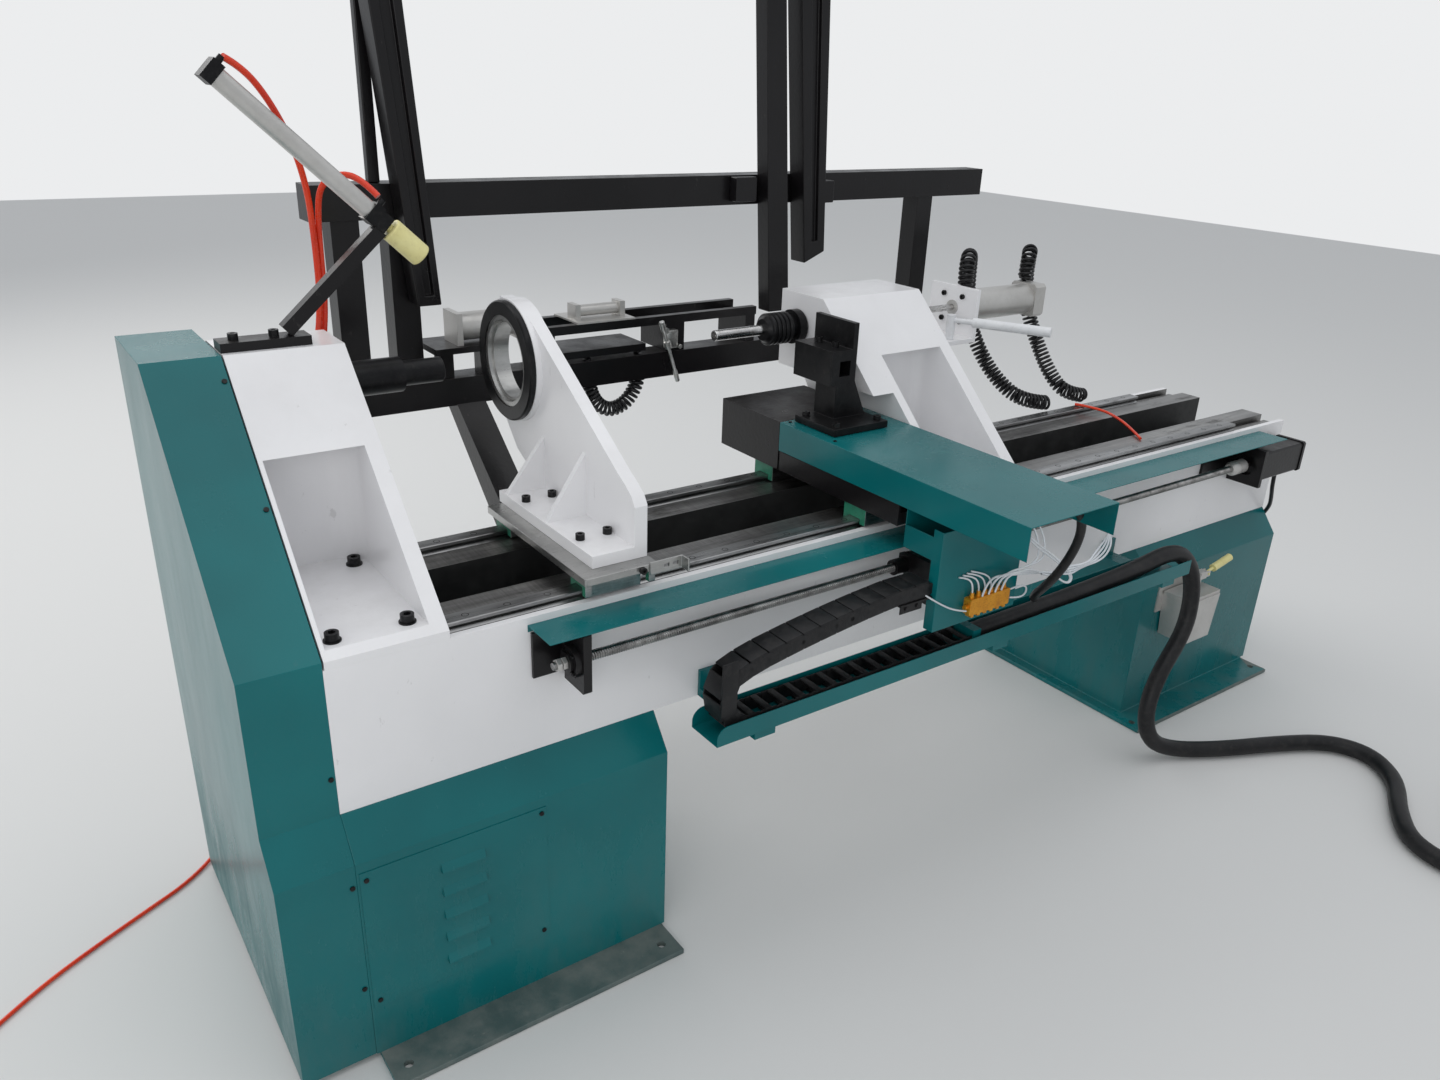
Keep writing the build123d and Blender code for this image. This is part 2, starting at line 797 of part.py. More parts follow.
with BuildPart() as rear_cover:
    depth = saddle_rear - cover_joint - slide_gap
    with Locations(((saddle_x0 + saddle_x1) / 2, saddle_rear, saddle_bottom + 1)):
        Box(
            saddle_x1 - saddle_x0, depth, cover_top - saddle_bottom - 1,
            align=(Align.CENTER, Align.MAX, Align.MIN),
        )
    with Locations(((saddle_x0 + saddle_x1) / 2, saddle_rear - sheet, saddle_bottom)):
        Box(
            saddle_x1 - saddle_x0 - 2 * sheet, depth, cover_top - saddle_bottom - sheet,
            align=(Align.CENTER, Align.MAX, Align.MIN), mode=Mode.SUBTRACT,
        )
save(rear_cover, "rear_cover")

cross_rail_z0 = 863.0
cross_rail_z1 = 878.0
cross_mid = (saddle_x0 + saddle_x1) / 2
with BuildPart() as cross_rails:
    for x in (cross_mid - 92, cross_mid + 92):
        with Locations((x, (saddle_front + 14 + saddle_rear - 6) / 2, cross_rail_z0)):
            Box(20, saddle_rear - 6 - saddle_front - 16, cross_rail_z1 - cross_rail_z0, align=low)

cross_screw_z = 899.0
with BuildPart() as cross_screw:
    with Locations((cross_mid, saddle_front + 16, cross_screw_z)):
        Cylinder(8, 500, rotation=(-90, 0, 0), align=low)
    with Locations((cross_mid, saddle_front + 16, cross_screw_z)):
        Cylinder(6, 74, rotation=(90, 0, 0), align=low)
    with Locations((cross_mid, saddle_front - 10, cross_screw_z)):
        Cylinder(14, 38, rotation=(90, 0, 0), align=low)
save(cross_screw, "cross_screw")

with BuildPart() as cross_motor:
    with Locations((cross_mid, saddle_front - 62, cross_screw_z)):
        Box(84, 120, 84, align=(Align.CENTER, Align.MAX, Align.CENTER))
    chamfer(cross_motor.edges().filter_by(Axis.Y), 5)
    for x in (-36, 36):
        with Locations((cross_mid + x, saddle_front, cross_screw_z - 14)):
            Box(10, 63, 50, align=(Align.CENTER, Align.MAX, Align.CENTER))
save(cross_motor, "cross_motor")

# Cross slide with the tool post and the long folded cover
slide_y0 = -60.0
slide_y1 = 96.0
post_x0 = 886.0
post_x1 = 1048.0
post_mid = (post_x0 + post_x1) / 2
with BuildPart() as cross_slide:
    with Locations((cross_mid, (slide_y0 + slide_y1) / 2, 912)):
        Box(232, slide_y1 - slide_y0, 20, align=low)
    with Locations((post_mid, 30, 932)):
        Box(130, 100, 22.5, align=low)
    for x in (cross_mid - 92, cross_mid + 92):
        with Locations((x, 18, cross_rail_z0 + 4)):
            Box(44, 110, 45, align=low)
        with Locations((x, 18, cross_rail_z0 + 3)):
            Box(21, 120, cross_rail_z1 - cross_rail_z0 - 2.5, align=low, mode=Mode.SUBTRACT)
    with Locations((cross_mid, 18, cross_screw_z - 18)):
        Box(46, 60, 32, align=low)
    with Locations((cross_mid, 18, cross_screw_z)):
        Cylinder(8.06, 100, rotation=(90, 0, 0), mode=Mode.SUBTRACT)
save(cross_slide, "cross_slide")

with BuildPart() as slide_cover:
    mid_y = (cover_joint + slide_cover_front) / 2
    span = cover_joint - slide_cover_front
    with Locations((cross_mid, mid_y, saddle_top + slide_gap)):
        Box(saddle_x1 - saddle_x0, span, cover_top - saddle_top - slide_gap, align=low)
    with Locations((cross_mid, mid_y, saddle_top - 1)):
        Box(
            saddle_x1 - saddle_x0 - 2 * sheet,
            span + 2,
            cover_top - saddle_top - sheet + 1,
            align=low,
            mode=Mode.SUBTRACT,
        )
    with Locations((post_mid, 30, cover_top - 10)):
        Box(130.6, 100.6, 20, align=low, mode=Mode.SUBTRACT)
save(slide_cover, "slide_cover")

post_z = 954.5
post_y0 = -50.0
post_y1 = 92.0
post_face_y = 20.0
post_back_y = 158.0
post_top = 1188.0
upright_x0 = 985.0
upright_x1 = 999.0
block_x0 = 925.0
block_z0 = 1048.0
block_z1 = 1128.0
slot_x0 = 950.0
slot_z0 = 1068.0
post_bolts = [(904, -32), (1030, -32), (904, 74), (1030, 74)]
post_corner = (Align.MIN, Align.MIN, Align.MIN)
with BuildPart() as tool_post:
    with Locations((post_mid, (post_y0 + post_y1) / 2, post_z)):
        Box(post_x1 - post_x0, post_y1 - post_y0, 16, align=low)
    upright = [
        (post_face_y, post_z + 15),
        (post_face_y, post_top),
        (post_back_y, post_top),
        (post_back_y, block_z0),
        (post_y1, block_z0 - 30),
        (post_y1, post_z + 15),
    ]
    extrude(outline(upright, side_plane(upright_x0)), amount=upright_x1 - upright_x0)
    with Locations((942, post_face_y, post_z + 15)):
        Box(upright_x0 - 941, post_y1 - post_face_y, block_z0 - post_z - 15, align=post_corner)
    gusset = [(upright_x1 - 1, post_z + 15), (1038, post_z + 15), (upright_x1 - 1, 1056)]
    extrude(outline(gusset, Plane.XZ.offset(-post_face_y)), amount=-16)
    with Locations(*[(x, y, post_z) for x, y in post_bolts]):
        Cylinder(5.5, 17, align=low, mode=Mode.SUBTRACT)

clamp_screws = [(966, 60, block_z1), (966, 118, block_z1)]
with BuildPart() as tool_block:
    with Locations((block_x0, post_face_y, block_z0)):
        Box(upright_x0 - block_x0, post_back_y - post_face_y, block_z1 - block_z0, align=post_corner)
    with Locations((slot_x0, post_face_y - 1, slot_z0)):
        Box(31, post_back_y - post_face_y + 2, 35, align=post_corner, mode=Mode.SUBTRACT)
    with Locations(*clamp_screws):
        Cylinder(5, 26, align=high, mode=Mode.SUBTRACT)
    chamfer(tool_block.edges().filter_by(Axis.Z).filter_by(lambda e: e.center().X < 930), 3)

with BuildPart() as post_screws:
    screws([(x, y, post_z + 16) for x, y in post_bolts], 9, 10, 5, 15, 4)
    screws([(saddle_x0 + 20, 92, cover_top), (saddle_x0 + 18, -70, cover_top)], 4, 2, 1.5, 4, 0)
    screws(clamp_screws, 8, 12, 5, 24, 4)
save(post_screws, "post_screws")

# Apron with the nut and chain brackets
apron_x0 = 880.0
apron_x1 = 1136.0
apron_front = -410.0
with BuildPart() as apron:
    with Locations((apron_x0, apron_front, 625)):
        Box(apron_x1 - apron_x0, 3, 228, align=(Align.MIN, Align.MIN, Align.MIN))
    for x in (apron_x0, apron_x1 - 3):
        with Locations((x, apron_front, 625)):
            Box(3, 27, 228, align=(Align.MIN, Align.MIN, Align.MIN))
        with Locations((x, apron_front, 783)):
            Box(3, 109.5, 52, align=(Align.MIN, Align.MIN, Align.MIN))
    with Locations((apron_x0, saddle_front, 783)):
        Box(apron_x1 - apron_x0, 3, 96, align=(Align.MIN, Align.MAX, Align.MIN))
    with Locations((apron_x0, apron_front, 783)):
        Box(apron_x1 - apron_x0, 109, 3, align=(Align.MIN, Align.MIN, Align.MIN))
    with Locations((cross_mid, saddle_front - 2, cross_screw_z - 2)):
        Box(94, 20, 92, mode=Mode.SUBTRACT)
    with Locations((apron_x0 + 1.5, -391, chain_seat - 2.5)):
        Box(6, 17, 5.6, mode=Mode.SUBTRACT)
save(apron, "apron")

with BuildPart() as nut_bracket:
    with Locations((934, screw_y - 11, 645)):
        Box(16, 115, 99, align=(Align.MIN, Align.MAX, Align.MIN))
    with Locations((934, screw_y + 17, 690)):
        Box(16, 30, 44, align=(Align.MIN, Align.MAX, Align.MIN))
    with Locations((934, apron_front + 3, 645)):
        Box(60, 10, 99, align=(Align.MIN, Align.MIN, Align.MIN))
    with Locations((900, screw_y, screw_z)):
        Cylinder(18, 120, rotation=(0, 90, 0), mode=Mode.SUBTRACT)
    with Locations((790, chain_y, chain_seat - 5)):
        Box(144, 64, 5, align=(Align.MIN, Align.CENTER, Align.MIN))
    with Locations((790, chain_y - 32, chain_seat - 20)):
        Box(62, 3, 20, align=(Align.MIN, Align.MIN, Align.MIN))
    with Locations((806, chain_y - 32, chain_seat - 10), (838, chain_y - 32, chain_seat - 10)):
        Cylinder(4.5, 3, rotation=(90, 0, 0), align=low)

with BuildPart() as ball_nut:
    with BuildSketch(Plane.XZ):
        with BuildLine():
            Polyline(
                (900, screw_r + 0.06),
                (900, 17.5),
                (950, 17.5),
                (950, 26),
                (960, 26),
                (960, 18),
                (976, 18),
                (976, screw_r + 0.06),
                close=True,
            )
        make_face()
    revolve(axis=Axis.X)
ball_nut.part = ball_nut.part.moved(Location((0, screw_y, screw_z)))

# Oil distributor with push-in fittings
oil_x0 = 968.0
oil_x1 = 1092.0
oil_z0 = 649.0
with BuildPart() as oil_distributor:
    with Locations((oil_x0, apron_front, oil_z0)):
        Box(oil_x1 - oil_x0, 20, 38, align=(Align.MIN, Align.MAX, Align.MIN))
    chamfer(oil_distributor.edges().filter_by(Axis.Y), 3)
    for k in range(6):
        with Locations((oil_x0 + 12 + 20 * k, apron_front - 10, oil_z0)):
            Box(9, 16, 6, align=high)

oil_ports = [(oil_x0 + 12 + 20 * k, apron_front - 10, oil_z0 + 38) for k in range(6)]
with BuildPart() as oil_fittings:
    for x, y, z in oil_ports:
        with Locations((x, y, z)):
            Cylinder(5, 6, align=low)
        with Locations((x, y, z + 6)):
            Cylinder(4, 6, align=low)
        with Locations((x, y, z)):
            Cylinder(2.1, 30, align=low, mode=Mode.SUBTRACT)
    with Locations((oil_x0 - 8, apron_front - 10, oil_z0 + 19)):
        Cylinder(5, 8, rotation=(0, 90, 0), align=low)

# Tray with its arms
with BuildPart() as cable_tray:
    tray_mid = (tray_front + tray_back) / 2
    with Locations((tray_x0, tray_mid, tray_floor)):
        Box(tray_x1 - tray_x0, tray_back - tray_front, tray_wall_top - tray_floor, align=end_low)
    with Locations((tray_x0 - 1, tray_mid, tray_floor + sheet)):
        Box(
            tray_x1 - tray_x0 + 2,
            tray_back - tray_front - 2 * sheet,
            60,
            align=end_low,
            mode=Mode.SUBTRACT,
        )
    fillet(cable_tray.edges().filter_by(Axis.Y).filter_by(
        lambda e: e.center().Z > tray_wall_top - 1 and e.center().X < tray_x0 + 1), 26)

with BuildPart() as chain_anchor:
    with Locations((anchor_x, chain_y, tray_floor + sheet)):
        Box(25, 60, 46, align=(Align.MIN, Align.CENTER, Align.MIN))

with BuildPart() as tray_arms:
    for x in (448, 1120, 1760):
        with Locations((x, -beam_outer, tray_floor)):
            Box(50, -tray_front - 5 - beam_outer, 18, align=(Align.CENTER, Align.MAX, Align.MAX))
        with Locations((x, -beam_outer, tray_floor - 18)):
            Box(50, 8, 60, align=(Align.CENTER, Align.MAX, Align.MIN))

# Drag chain: covered links along the upper run, open links in the tray
seat_z = chain_seat + link_h / 2
run_z = tray_floor + sheet + 0.3 + link_h / 2
upper = [(872, seat_z), (788, seat_z), (700, 716), (640, 709), (546, 696), (462, 682), (400, 667)]
link_half_w = 30.0


def link(x0, z0, x1, z1, covered):
    length = math.hypot(x1 - x0, z1 - z0)
    turn = math.degrees(math.atan2(z1 - z0, x1 - x0))
    spot = Location(((x0 + x1) / 2, chain_y, (z0 + z1) / 2), (0, -turn, 0))
    with Locations(spot):
        Box(length - 0.3, 2 * link_half_w, link_h)
        if covered:
            Box(length - 8, 2 * link_half_w - 10, link_h - 6, mode=Mode.SUBTRACT)
        else:
            Box(length + 4, 2 * link_half_w - 10, link_h + 4, mode=Mode.SUBTRACT)
            Box(10, 2 * link_half_w, link_h - 8)


def walk(points, pitch):
    out = [points[0]]
    carry = 0.0
    for (ax, az), (bx, bz) in zip(points, points[1:]):
        length = math.hypot(bx - ax, bz - az)
        at = pitch - carry
        while at <= length:
            out.append((ax + (bx - ax) * at / length, az + (bz - az) * at / length))
            at += pitch
        carry = length - (at - pitch)
    return out


bend = [
    (400, 667), (374, 655), (360, 628), (359, 596), (372, 566), (400, run_z),
]
lower_run = [(400, run_z), (anchor_x - 0.2, run_z)]
with BuildPart() as drag_chain:
    path = walk(upper + bend[1:], link_pitch)
    for k, (a, b) in enumerate(zip(path, path[1:])):
        with BuildPart(mode=Mode.PRIVATE) as one:
            link(a[0], a[1], b[0], b[1], True)
        add(one.part)
    path = walk(lower_run, link_pitch)
    for a, b in zip(path, path[1:]):
        with BuildPart(mode=Mode.PRIVATE) as one:
            link(a[0], a[1], b[0], b[1], False)
        add(one.part)
    end_plate = [(344, 656), (340, 622), (358, 586), (381, 586), (381, 702), (344, 708)]
    extrude(outline(end_plate, front_plane(chain_y + link_half_w)), amount=4)
save(drag_chain, "drag_chain")

# Hand oil pump on the right pedestal
pump_x = 2060.0
pump_y = -pedestal_front
pump_z = 300.0
with BuildPart() as oil_pump:
    with Locations((pump_x, pump_y, pump_z + 70)):
        Box(190, 4, 90, align=(Align.CENTER, Align.MAX, Align.CENTER))
    tank = [(-58, 0), (58, 0), (74, 130), (-74, 130)]
    extrude(outline([(pump_x + x, pump_z - 50 + z) for x, z in tank], front_plane(pump_y - 4)), amount=86)
    with Locations((pump_x, pump_y - 47, pump_z + 80)):
        Box(150, 80, 10, align=low)
        Cylinder(17, 60, align=low)
    with Locations((pump_x + 24, pump_y - 47, pump_z + 122)):
        Box(34, 20, 22, align=low)
    for y in (pump_y - 37, pump_y - 53):
        with Locations((pump_x + 41, y, pump_z + 133)):
            Box(16, 4, 16, align=(Align.MIN, Align.MAX, Align.CENTER))
    with Locations((pump_x + 49, pump_y - 47, pump_z + 133)):
        Cylinder(3 + running_gap, 60, rotation=(90, 0, 0), mode=Mode.SUBTRACT)
save(oil_pump, "oil_pump")

with BuildPart() as pump_lever:
    with Locations((pump_x + 49, pump_y - 47, pump_z + 133)):
        Cylinder(3, 24, rotation=(90, 0, 0))
        Cylinder(6.5, 11, rotation=(90, 0, 0))
        Cylinder(4, 40, rotation=(0, 78, 0), align=low)
    with Locations((pump_x + 82.5, pump_y - 47, pump_z + 140)):
        Cylinder(11, 80, rotation=(0, 78, 0), align=low)
save(pump_lever, "pump_lever")

# Tailstock
tail_foot_top = bed_top + foot_thick
tail_bolts = [(1200, -100), (1290, -100), (1200, 100), (1290, 100)]
with BuildPart() as tailstock_casting:
    extrude(outline(head_profile, side_plane(tail_x0)), amount=tail_x1 - tail_x0)
    head_part = [
        (slope_y(1012), 1012),
        (slope_y(1203), 1203),
        (head_rear, 1203),
        (head_rear, 1012),
    ]
    extrude(outline(head_part, side_plane(tail_head_left)), amount=tail_x0 - tail_head_left + 1)
    with BuildPart(mode=Mode.PRIVATE) as tail_pocket:
        extrude(
            outline(pocket_points(88, 150), side_plane(tail_x0 + tail_left_web)),
            amount=tail_x1 - tail_right_web - tail_x0 - tail_left_web,
        )
        uprights = tail_pocket.edges().filter_by(
            lambda e: e.center().Y > 120
            and e.length > 100
            and abs(e.center().X - (tail_x0 + tail_x1) / 2) > 80
        )
        fillet(uprights, 30)
    add(tail_pocket.part, mode=Mode.SUBTRACT)
    with Locations((tail_x0, 0, 1203)):
        Box(400, 900, 40, align=(Align.MIN, Align.CENTER, Align.MIN), mode=Mode.SUBTRACT)
    for side in (-1, 1):
        with Locations(((tail_x0 + tail_x1) / 2, side * rail_y, bed_top)):
            Box(tail_x1 - tail_x0, 2 * (lip_inner - rail_y), 20, align=low, mode=Mode.SUBTRACT)
    with Locations((tail_head_left, axis_y, axis_z)):
        Cylinder(20, 400, rotation=(0, 90, 0), align=low, mode=Mode.SUBTRACT)
    with Locations(*[(x, y, bed_top) for x, y in tail_bolts]):
        Cylinder(8.5, foot_thick + 1, align=low, mode=Mode.SUBTRACT)

with BuildPart() as tailstock_bolts:
    screws([(x, y, tail_foot_top) for x, y in tail_bolts], 12, 16, 8, 26, 7)

with BuildPart() as tail_sleeve:
    with BuildSketch(Plane.XZ):
        points = [(938, quill_r + running_gap), (938, 26), (946, 33)]
        for k in range(5):
            x = 948 + 13 * k
            points += [(x, 37), (x + 2, 39), (x + 8, 39), (x + 10, 37), (x + 10, 33.5), (x + 12, 33.5)]
        points += [(1014, 33.5), (1014, 30), (1026, 30), (1026, 42), (1048, 42), (1052, 38)]
        points += [(1052, 20), (1130, 20), (1130, quill_r + running_gap)]
        with BuildLine():
            Polyline(*points, close=True)
        make_face()
    revolve(axis=Axis.X)
tail_sleeve.part = tail_sleeve.part.moved(Location((0, axis_y, axis_z)))
save(tail_sleeve, "tail_sleeve")

with BuildPart() as live_centre:
    with BuildSketch(Plane.XZ):
        with BuildLine():
            Polyline(
                (quill_tip, 8),
                (quill_tip, 12),
                (quill_tip + 2, quill_r),
                (866, quill_r),
                (866, 6.94),
                (900, 6.94),
                (900, 0),
                (quill_tip + 18, 0),
                (quill_tip + 10, 8),
                close=True,
            )
        make_face()
    revolve(axis=Axis.X)
live_centre.part = live_centre.part.moved(Location((0, axis_y, axis_z)))
save(live_centre, "live_centre")

cylinder_x0 = 1600.0
with BuildPart() as quill:
    with BuildSketch(Plane.XZ):
        with BuildLine():
            Polyline(
                (866.5, 7),
                (866.5, quill_r),
                (1240, quill_r),
                (1240, 9),
                (1720, 9),
                (1720, 38),
                (1736, 38),
                (1736, 0),
                (902, 0),
                (902, 7),
                close=True,
            )
        make_face()
    revolve(axis=Axis.X)
quill.part = quill.part.moved(Location((0, axis_y, axis_z)))
save(quill, "quill")

with BuildPart() as cylinder_bracket:
    with Locations((tail_x1, axis_y, axis_z - 70)):
        Box(cylinder_x0 + 12 - tail_x1, 172, 12, align=(Align.MIN, Align.CENTER, Align.MAX))
    with Locations((tail_x1, axis_y + 72, axis_z - 71)):
        Box(10, 30, 110, align=(Align.MIN, Align.CENTER, Align.MIN))
    with Locations((cylinder_x0, axis_y, axis_z - 71)):
        Box(12, 172, 131, align=(Align.MIN, Align.CENTER, Align.MIN))
    with Locations((cylinder_x0, axis_y, axis_z)):
        Cylinder(20, 60, rotation=(0, 90, 0), mode=Mode.SUBTRACT)

with BuildPart() as quill_cylinder:
    with BuildSketch(Plane.XZ):
        with BuildLine():
            Polyline(
                (cylinder_x0 - 4, 9.3),
                (cylinder_x0 - 4, 19.9),
                (1612, 19.9),
                (1612, 43.5),
                (1890, 43.5),
                (1890, 38.5),
                (1630, 38.5),
                (1630, 9.3),
                close=True,
            )
        make_face()
    revolve(axis=Axis.X)
quill_cylinder.part = quill_cylinder.part.moved(Location((0, axis_y, axis_z)))

with BuildPart() as cylinder_caps:
    with Locations((1890, axis_y, axis_z)):
        Box(42, 92, 92, align=(Align.MIN, Align.CENTER, Align.CENTER))
    chamfer(cylinder_caps.edges().filter_by(Axis.X), 8)

lever_start = (1534.0, axis_y - 62.0, 1104.0)
lever_end = (1660.0, 4.0, 1104.0)
with BuildPart() as clamp_lever:
    lever_dir = Vector(*lever_end) - Vector(*lever_start)
    lever_len = lever_dir.length
    rod_plane = Plane(origin=lever_start, z_dir=lever_dir)
    with Locations(rod_plane.location):
        Cylinder(7, 80, align=low)
    with Locations(rod_plane.offset(60).location):
        Cylinder(13, lever_len - 60, align=low)
    with Locations((lever_start[0], lever_start[1], axis_z - 69.5)):
        Cylinder(12, 66, align=low)
save(clamp_lever, "clamp_lever")

# Loading arm on the headstock
arm_y = 262.0
arm_bolts = [(-280, arm_y, 1230.0), (-210, arm_y, 1230.0)]
tube_low = Vector(-188, arm_y, 1238)
tube_high = Vector(14, arm_y, 1421)
barrel_low = Vector(-250, arm_y, 1663)
barrel_high = Vector(-18, arm_y, 1444)
barrel_dir = (barrel_high - barrel_low).normalized()
barrel_plane = Plane(origin=barrel_low, x_dir=(0, 1, 0), z_dir=barrel_dir)
barrel_length = (barrel_high - barrel_low).length
with BuildPart() as arm_bracket:
    with Locations((-308, arm_y, head_top)):
        Box(158, 50, 17, align=(Align.MIN, Align.CENTER, Align.MIN))
    tube_plane = Plane(origin=tube_low, x_dir=(0, 1, 0), z_dir=tube_high - tube_low)
    with BuildSketch(tube_plane) as tube_section:
        Rectangle(25, 25)
        Rectangle(21, 21, mode=Mode.SUBTRACT)
    extrude(amount=(tube_high - tube_low).length - 19)
    with Locations(barrel_plane.offset(barrel_length).location):
        Box(32, 32, 60, align=low, mode=Mode.SUBTRACT)
        Box(38, 38, 20, align=low, mode=Mode.SUBTRACT)
save(arm_bracket, "arm_bracket")

with BuildPart() as arm_bolt_set:
    screws(arm_bolts, 9, 12, 6, 40, 5)

with BuildPart() as arm_cylinder:
    with Locations(barrel_plane.location):
        Cylinder(17, barrel_length, align=low)
        Cylinder(12.5, barrel_length, align=low, mode=Mode.SUBTRACT)

with BuildPart() as arm_caps:
    with Locations(barrel_plane.location):
        Box(38, 38, 22, align=high)
    cap_top = Vector(0.686, 0, 0.727)
    for along in (-11, barrel_length + 10):
        port = barrel_low + barrel_dir * along + cap_top * 18.5
        with Locations(Plane(origin=port, z_dir=cap_top).location):
            Cylinder(6, 13, align=low)
    with Locations(barrel_plane.offset(barrel_length).location):
        Box(38, 38, 20, align=low)
        Box(32, 32, 44, align=low)
        Cylinder(8.05, 60, align=low, mode=Mode.SUBTRACT)

with BuildPart() as arm_rod:
    with Locations(barrel_plane.offset(barrel_length - 130).location):
        Cylinder(12.4, 20, align=low)
        Cylinder(8, 188, align=low)

with BuildPart() as arm_pad:
    with Locations(barrel_plane.offset(barrel_length + 52).location):
        Cylinder(22.5, 78, align=low)
        Cylinder(8, 6, align=low, mode=Mode.SUBTRACT)
    fillet(arm_pad.edges().filter_by(GeomType.CIRCLE).filter_by(lambda e: e.radius > 20), 4)

join("frame_screws", headstock_bolts, cover_screws, bracket_screws, arm_bolt_set)
join("rest_plate", rest_plate, rest_angle)
join("rest_runners", rest_runners, rest_clamps)
join("screw_brackets", screw_bracket, screw_bearing, motor_bracket)
join("ball_screw", ball_screw, lock_nuts, screw_coupling)
join("saddle", saddle, cross_rails)
join("tool_post", tool_post, tool_block)
join("nut_bracket", nut_bracket, ball_nut)
join("oil_distributor", oil_distributor, oil_fittings)
join("cable_tray", cable_tray, tray_arms, chain_anchor)
join("spindle", spindle, spindle_pulley)
join("tailstock_casting", tailstock_casting, cylinder_bracket)
with BuildPart() as flange_screws:
    screws(
        [(cylinder_x0, axis_y + 34 * a, axis_z + 34 * b) for a, b in ((1, 1), (-1, 1), (1, -1), (-1, -1))],
        7, 6, 4, 12, 3.5, (-1, 0, 0),
    )
join("tailstock_bolts", tailstock_bolts, flange_screws)
join("quill_cylinder", quill_cylinder, cylinder_caps)
join("arm_cylinder", arm_cylinder, arm_caps)
join("arm_rod", arm_rod, arm_pad)


# Hoses and cables
def hose_line(points, diameter, name):
    spots = [Vector(*p) for p in points]
    radii = []
    for a, b, c in zip(spots, spots[1:], spots[2:]):
        first = b - a
        second = c - b
        turn = math.radians(first.get_angle(second))
        radii.append(0.45 * min(first.length, second.length) / math.tan(turn / 2))
    runs = [(b - a).length for a, b in zip(spots, spots[1:])]
    print(name, "least radius / d", round(min(radii) / diameter, 2))
    print(name, "longest run / d", round(max(runs) / diameter, 1))
    with BuildLine() as path:
        FilletPolyline(*points, radius=radii)
    return path.line


def hose(points, diameter, name):
    line = hose_line(points, diameter, name)
    with BuildPart() as tube:
        with BuildSketch(Plane(origin=line @ 0, z_dir=line % 0)):
            Circle(diameter / 2)
        sweep(path=line)
    return tube


conduit_d = 44.0
conduit_route = [
    (anchor_x + 25, -367, 558.3),
    (1330, -367, 558.3),
    (1640, -370, 571),
    (1800, -376, 600),
    (1880, -384, 548),
    (1912, -393, 452),
    (1890, -406, 350),
    (1770, -424, 252),
    (1728, -436, 160),
    (1752, -450, 72),
    (1838, -474, 26),
    (1960, -545, 24),
    (2130, -618, 24),
    (2260, -690, 24),
    (2300, -790, 24),
    (2230, -890, 24),
    (2090, -960, 24),
    (1985, -1040, 24),
    (1975, -1170, 24),
    (2050, -1300, 24),
]
conduit_hose = hose(conduit_route, conduit_d, "conduit_hose")
save(conduit_hose, "conduit_hose")

coil_x = 2310.0
coil_y = -1340.0
coil_mid = 11 * conduit_d / 2
with BuildPart() as conduit_coil:
    with Locations((coil_x, coil_y, 0)):
        Cylinder(coil_mid + conduit_d / 2 + 1, 2 * conduit_d + 4, align=low)
        Cylinder(coil_mid - conduit_d / 2 - 1, 2 * conduit_d + 4, align=low, mode=Mode.SUBTRACT)
save(conduit_coil, "conduit_coil")

air_d = 8.0
floor_route = [
    (-360, 458, 58),
    (-364, 500, 50),
    (-392, 518, 20),
    (-440, 474, 4.5),
    (-505, 418, 4.5),
    (-582, 378, 4.5),
    (-680, 326, 4.5),
    (-781, 268, 4.5),
    (-870, 200, 4.5),
    (-950, 130, 4.5),
    (-1010, 60, 4.5),
]
floor_hose = hose(floor_route, air_d, "floor_hose")
save(floor_hose, "floor_hose")
floor_coil_mid = 6 * air_d
with BuildPart() as floor_coil:
    with Locations((-1040, 10, 0)):
        Cylinder(floor_coil_mid + 2 * air_d, 3 * air_d, align=low)
        Cylinder(floor_coil_mid - 2 * air_d, 3 * air_d, align=low, mode=Mode.SUBTRACT)
save(floor_coil, "floor_coil")

arm_rear_route = [
    (-236, 262, 1693),
    (-205, 276, 1678),
    (-165, 300, 1634),
    (-125, 330, 1565),
    (-95, 365, 1480),
    (-85, 386, 1380),
    (-84, 392, 1270),
    (-96, 396, 1180),
    (-122, 392, 1112),
    (-134, 371.8, 1075),
]
arm_front_route = [
    (4, 266, 1466),
    (-18, 290, 1497),
    (-50, 322, 1503),
    (-74, 356, 1478),
    (-76, 380, 1420),
    (-73, 398, 1340),
    (-72, 404, 1250),
    (-84, 407, 1165),
    (-112, 400, 1096),
    (-134, 371.8, 1055),
]
cable_d = 12.0
arm_hose_d = 12.0
motor_cable_route = [
    (2470, -257, 670),
    (2478, -254, 618),
    (2512, -244, 566),
    (2548, -228, 520),
    (2566, -190, 460),
    (2568, -130, 400),
    (2562, -60, 340),
    (2545, -10, 300),
]
arm_rear_hose = hose(arm_rear_route, arm_hose_d, "arm_rear")
arm_front_hose = hose(arm_front_route, arm_hose_d, "arm_front")
motor_cable = hose(motor_cable_route, cable_d, "motor_cable")

